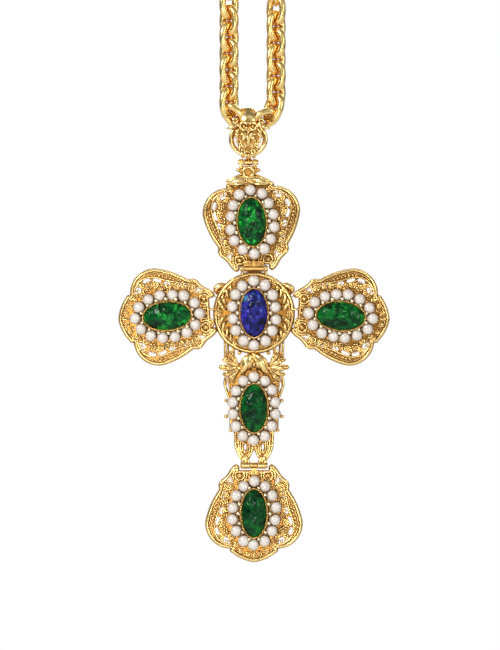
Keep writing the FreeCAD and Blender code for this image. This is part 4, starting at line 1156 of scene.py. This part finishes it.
def make_light(name, place, size, power):
    """A rectangle of light that faces the medallion."""
    data = bpy.data.lights.new(name, "AREA")
    data.shape = "RECTANGLE"
    data.size, data.size_y = size
    data.energy = power
    light = placed(name, data)
    light.location = place
    aim = Vector((0, 0, MIDDLE_Z * MM))
    light.rotation_euler = (aim - Vector(place)).to_track_quat("-Z", "Y").to_euler()


def make_world():
    """White to the camera; to the metal, a soft tent that is dimmer below and beside the lens."""
    world = bpy.data.worlds.new("studio")
    bpy.context.scene.world = world
    world.use_nodes = True
    made = Nodes(world.node_tree)
    made.tree.nodes.clear()
    way = made.node("ShaderNodeTexCoord").outputs["Generated"]
    bands = made.ramp(made.share(way, "Z", -1.0, 1.0), (0.0, 0.05), (0.36, 0.14), (0.47, 0.40), (0.52, 0.45),
                      (0.6, 0.95), (0.7, 0.45), (0.82, 1.0), (1.0, 0.8))
    flags = made.node("ShaderNodeTexNoise", Vector=way, Scale=1.7, Detail=0.5).outputs["Fac"]
    gaps = made.node("ShaderNodeMapRange", Value=flags, From_Min=0.4, From_Max=0.6, To_Min=0.3)
    both = made.node("ShaderNodeVectorMath")
    both.operation = "SCALE"
    made.feed(both.inputs[0], bands)
    made.feed(both.inputs["Scale"], gaps.outputs["Result"])
    tent = made.node("ShaderNodeBackground", Color=both.outputs["Vector"], Strength=0.85)
    seen = made.node("ShaderNodeBackground", Color=(1, 1, 1, 1))
    mix = made.node("ShaderNodeMixShader", Fac=made.node("ShaderNodeLightPath").outputs["Is Camera Ray"])
    made.feed(mix.inputs[1], tent.outputs[0])
    made.feed(mix.inputs[2], seen.outputs[0])
    made.node("ShaderNodeOutputWorld", Surface=mix.outputs[0])


def make_lights():
    make_light("key", (-0.7, -0.8, 0.55), (0.4, 0.4), 8.0)
    make_light("fill", (0.8, -0.9, 0.15), (0.15, 0.6), 2.2)
    make_light("low", (-0.16, -1.2, -0.2), (0.16, 0.12), 2.4)
    make_light("back", (0.2, 0.9, 0.5), (0.8, 0.5), 4.0)


# ---- the whole ----

SLOT_MATERIALS = {"filigree_gold": FILIGREE, "bright_gold": BRIGHT, "chain_gold": CHAIN, "pearl": PEARL,
                  "emerald_glass": EMERALD, "lapis_glass": LAPIS}


def finish_cad_nodes():
    """Gives each CAD node that still shows the finish that its material slot names; the trays take the darker
    gold instead, as painted shade.
    """
    for key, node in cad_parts.items():
        for holder in node.material_slots:
            name = holder.material.name.split(".")[0] if holder.material else ""
            holder.material = SHADED_GOLD if key.endswith("_tray") else SLOT_MATERIALS.get(name, BRIGHT)


def main():
    bpy.context.scene.view_settings.view_transform = "Standard"
    make_camera()
    make_stage()
    make_world()
    make_lights()
    finish_cad_nodes()
    stamping = arm_stamping()
    for unit in ("top", "left", "right", "bottom"):
        stamping.piece(f"{unit}_filigree_work", BODY[unit], FILIGREE, [f"{unit}_filigree"], placing(unit),
                       "filigree_gold")
    medallion_stamping().piece("medallion_filigree_work", "cross", FILIGREE, ["medallion_filigree"],
                               placing("medallion"), "filigree_gold")
    shaft_stamping().piece("shaft_filigree_work", "cross", SHAFT_GOLD, ["shaft_filigree"], slot="filigree_gold")
    make_palmettes()
    make_lily()
    make_ears()
    make_upper_hinge()
    make_bottom_tab()
    make_side_bars()
    make_neck()
    make_bail()
    make_chain()
    for seed, unit in enumerate(TURN):
        make_stone(unit, 3.7 * seed + 1.3)
        make_crown(unit)
        make_pearls(unit, seed)


main()
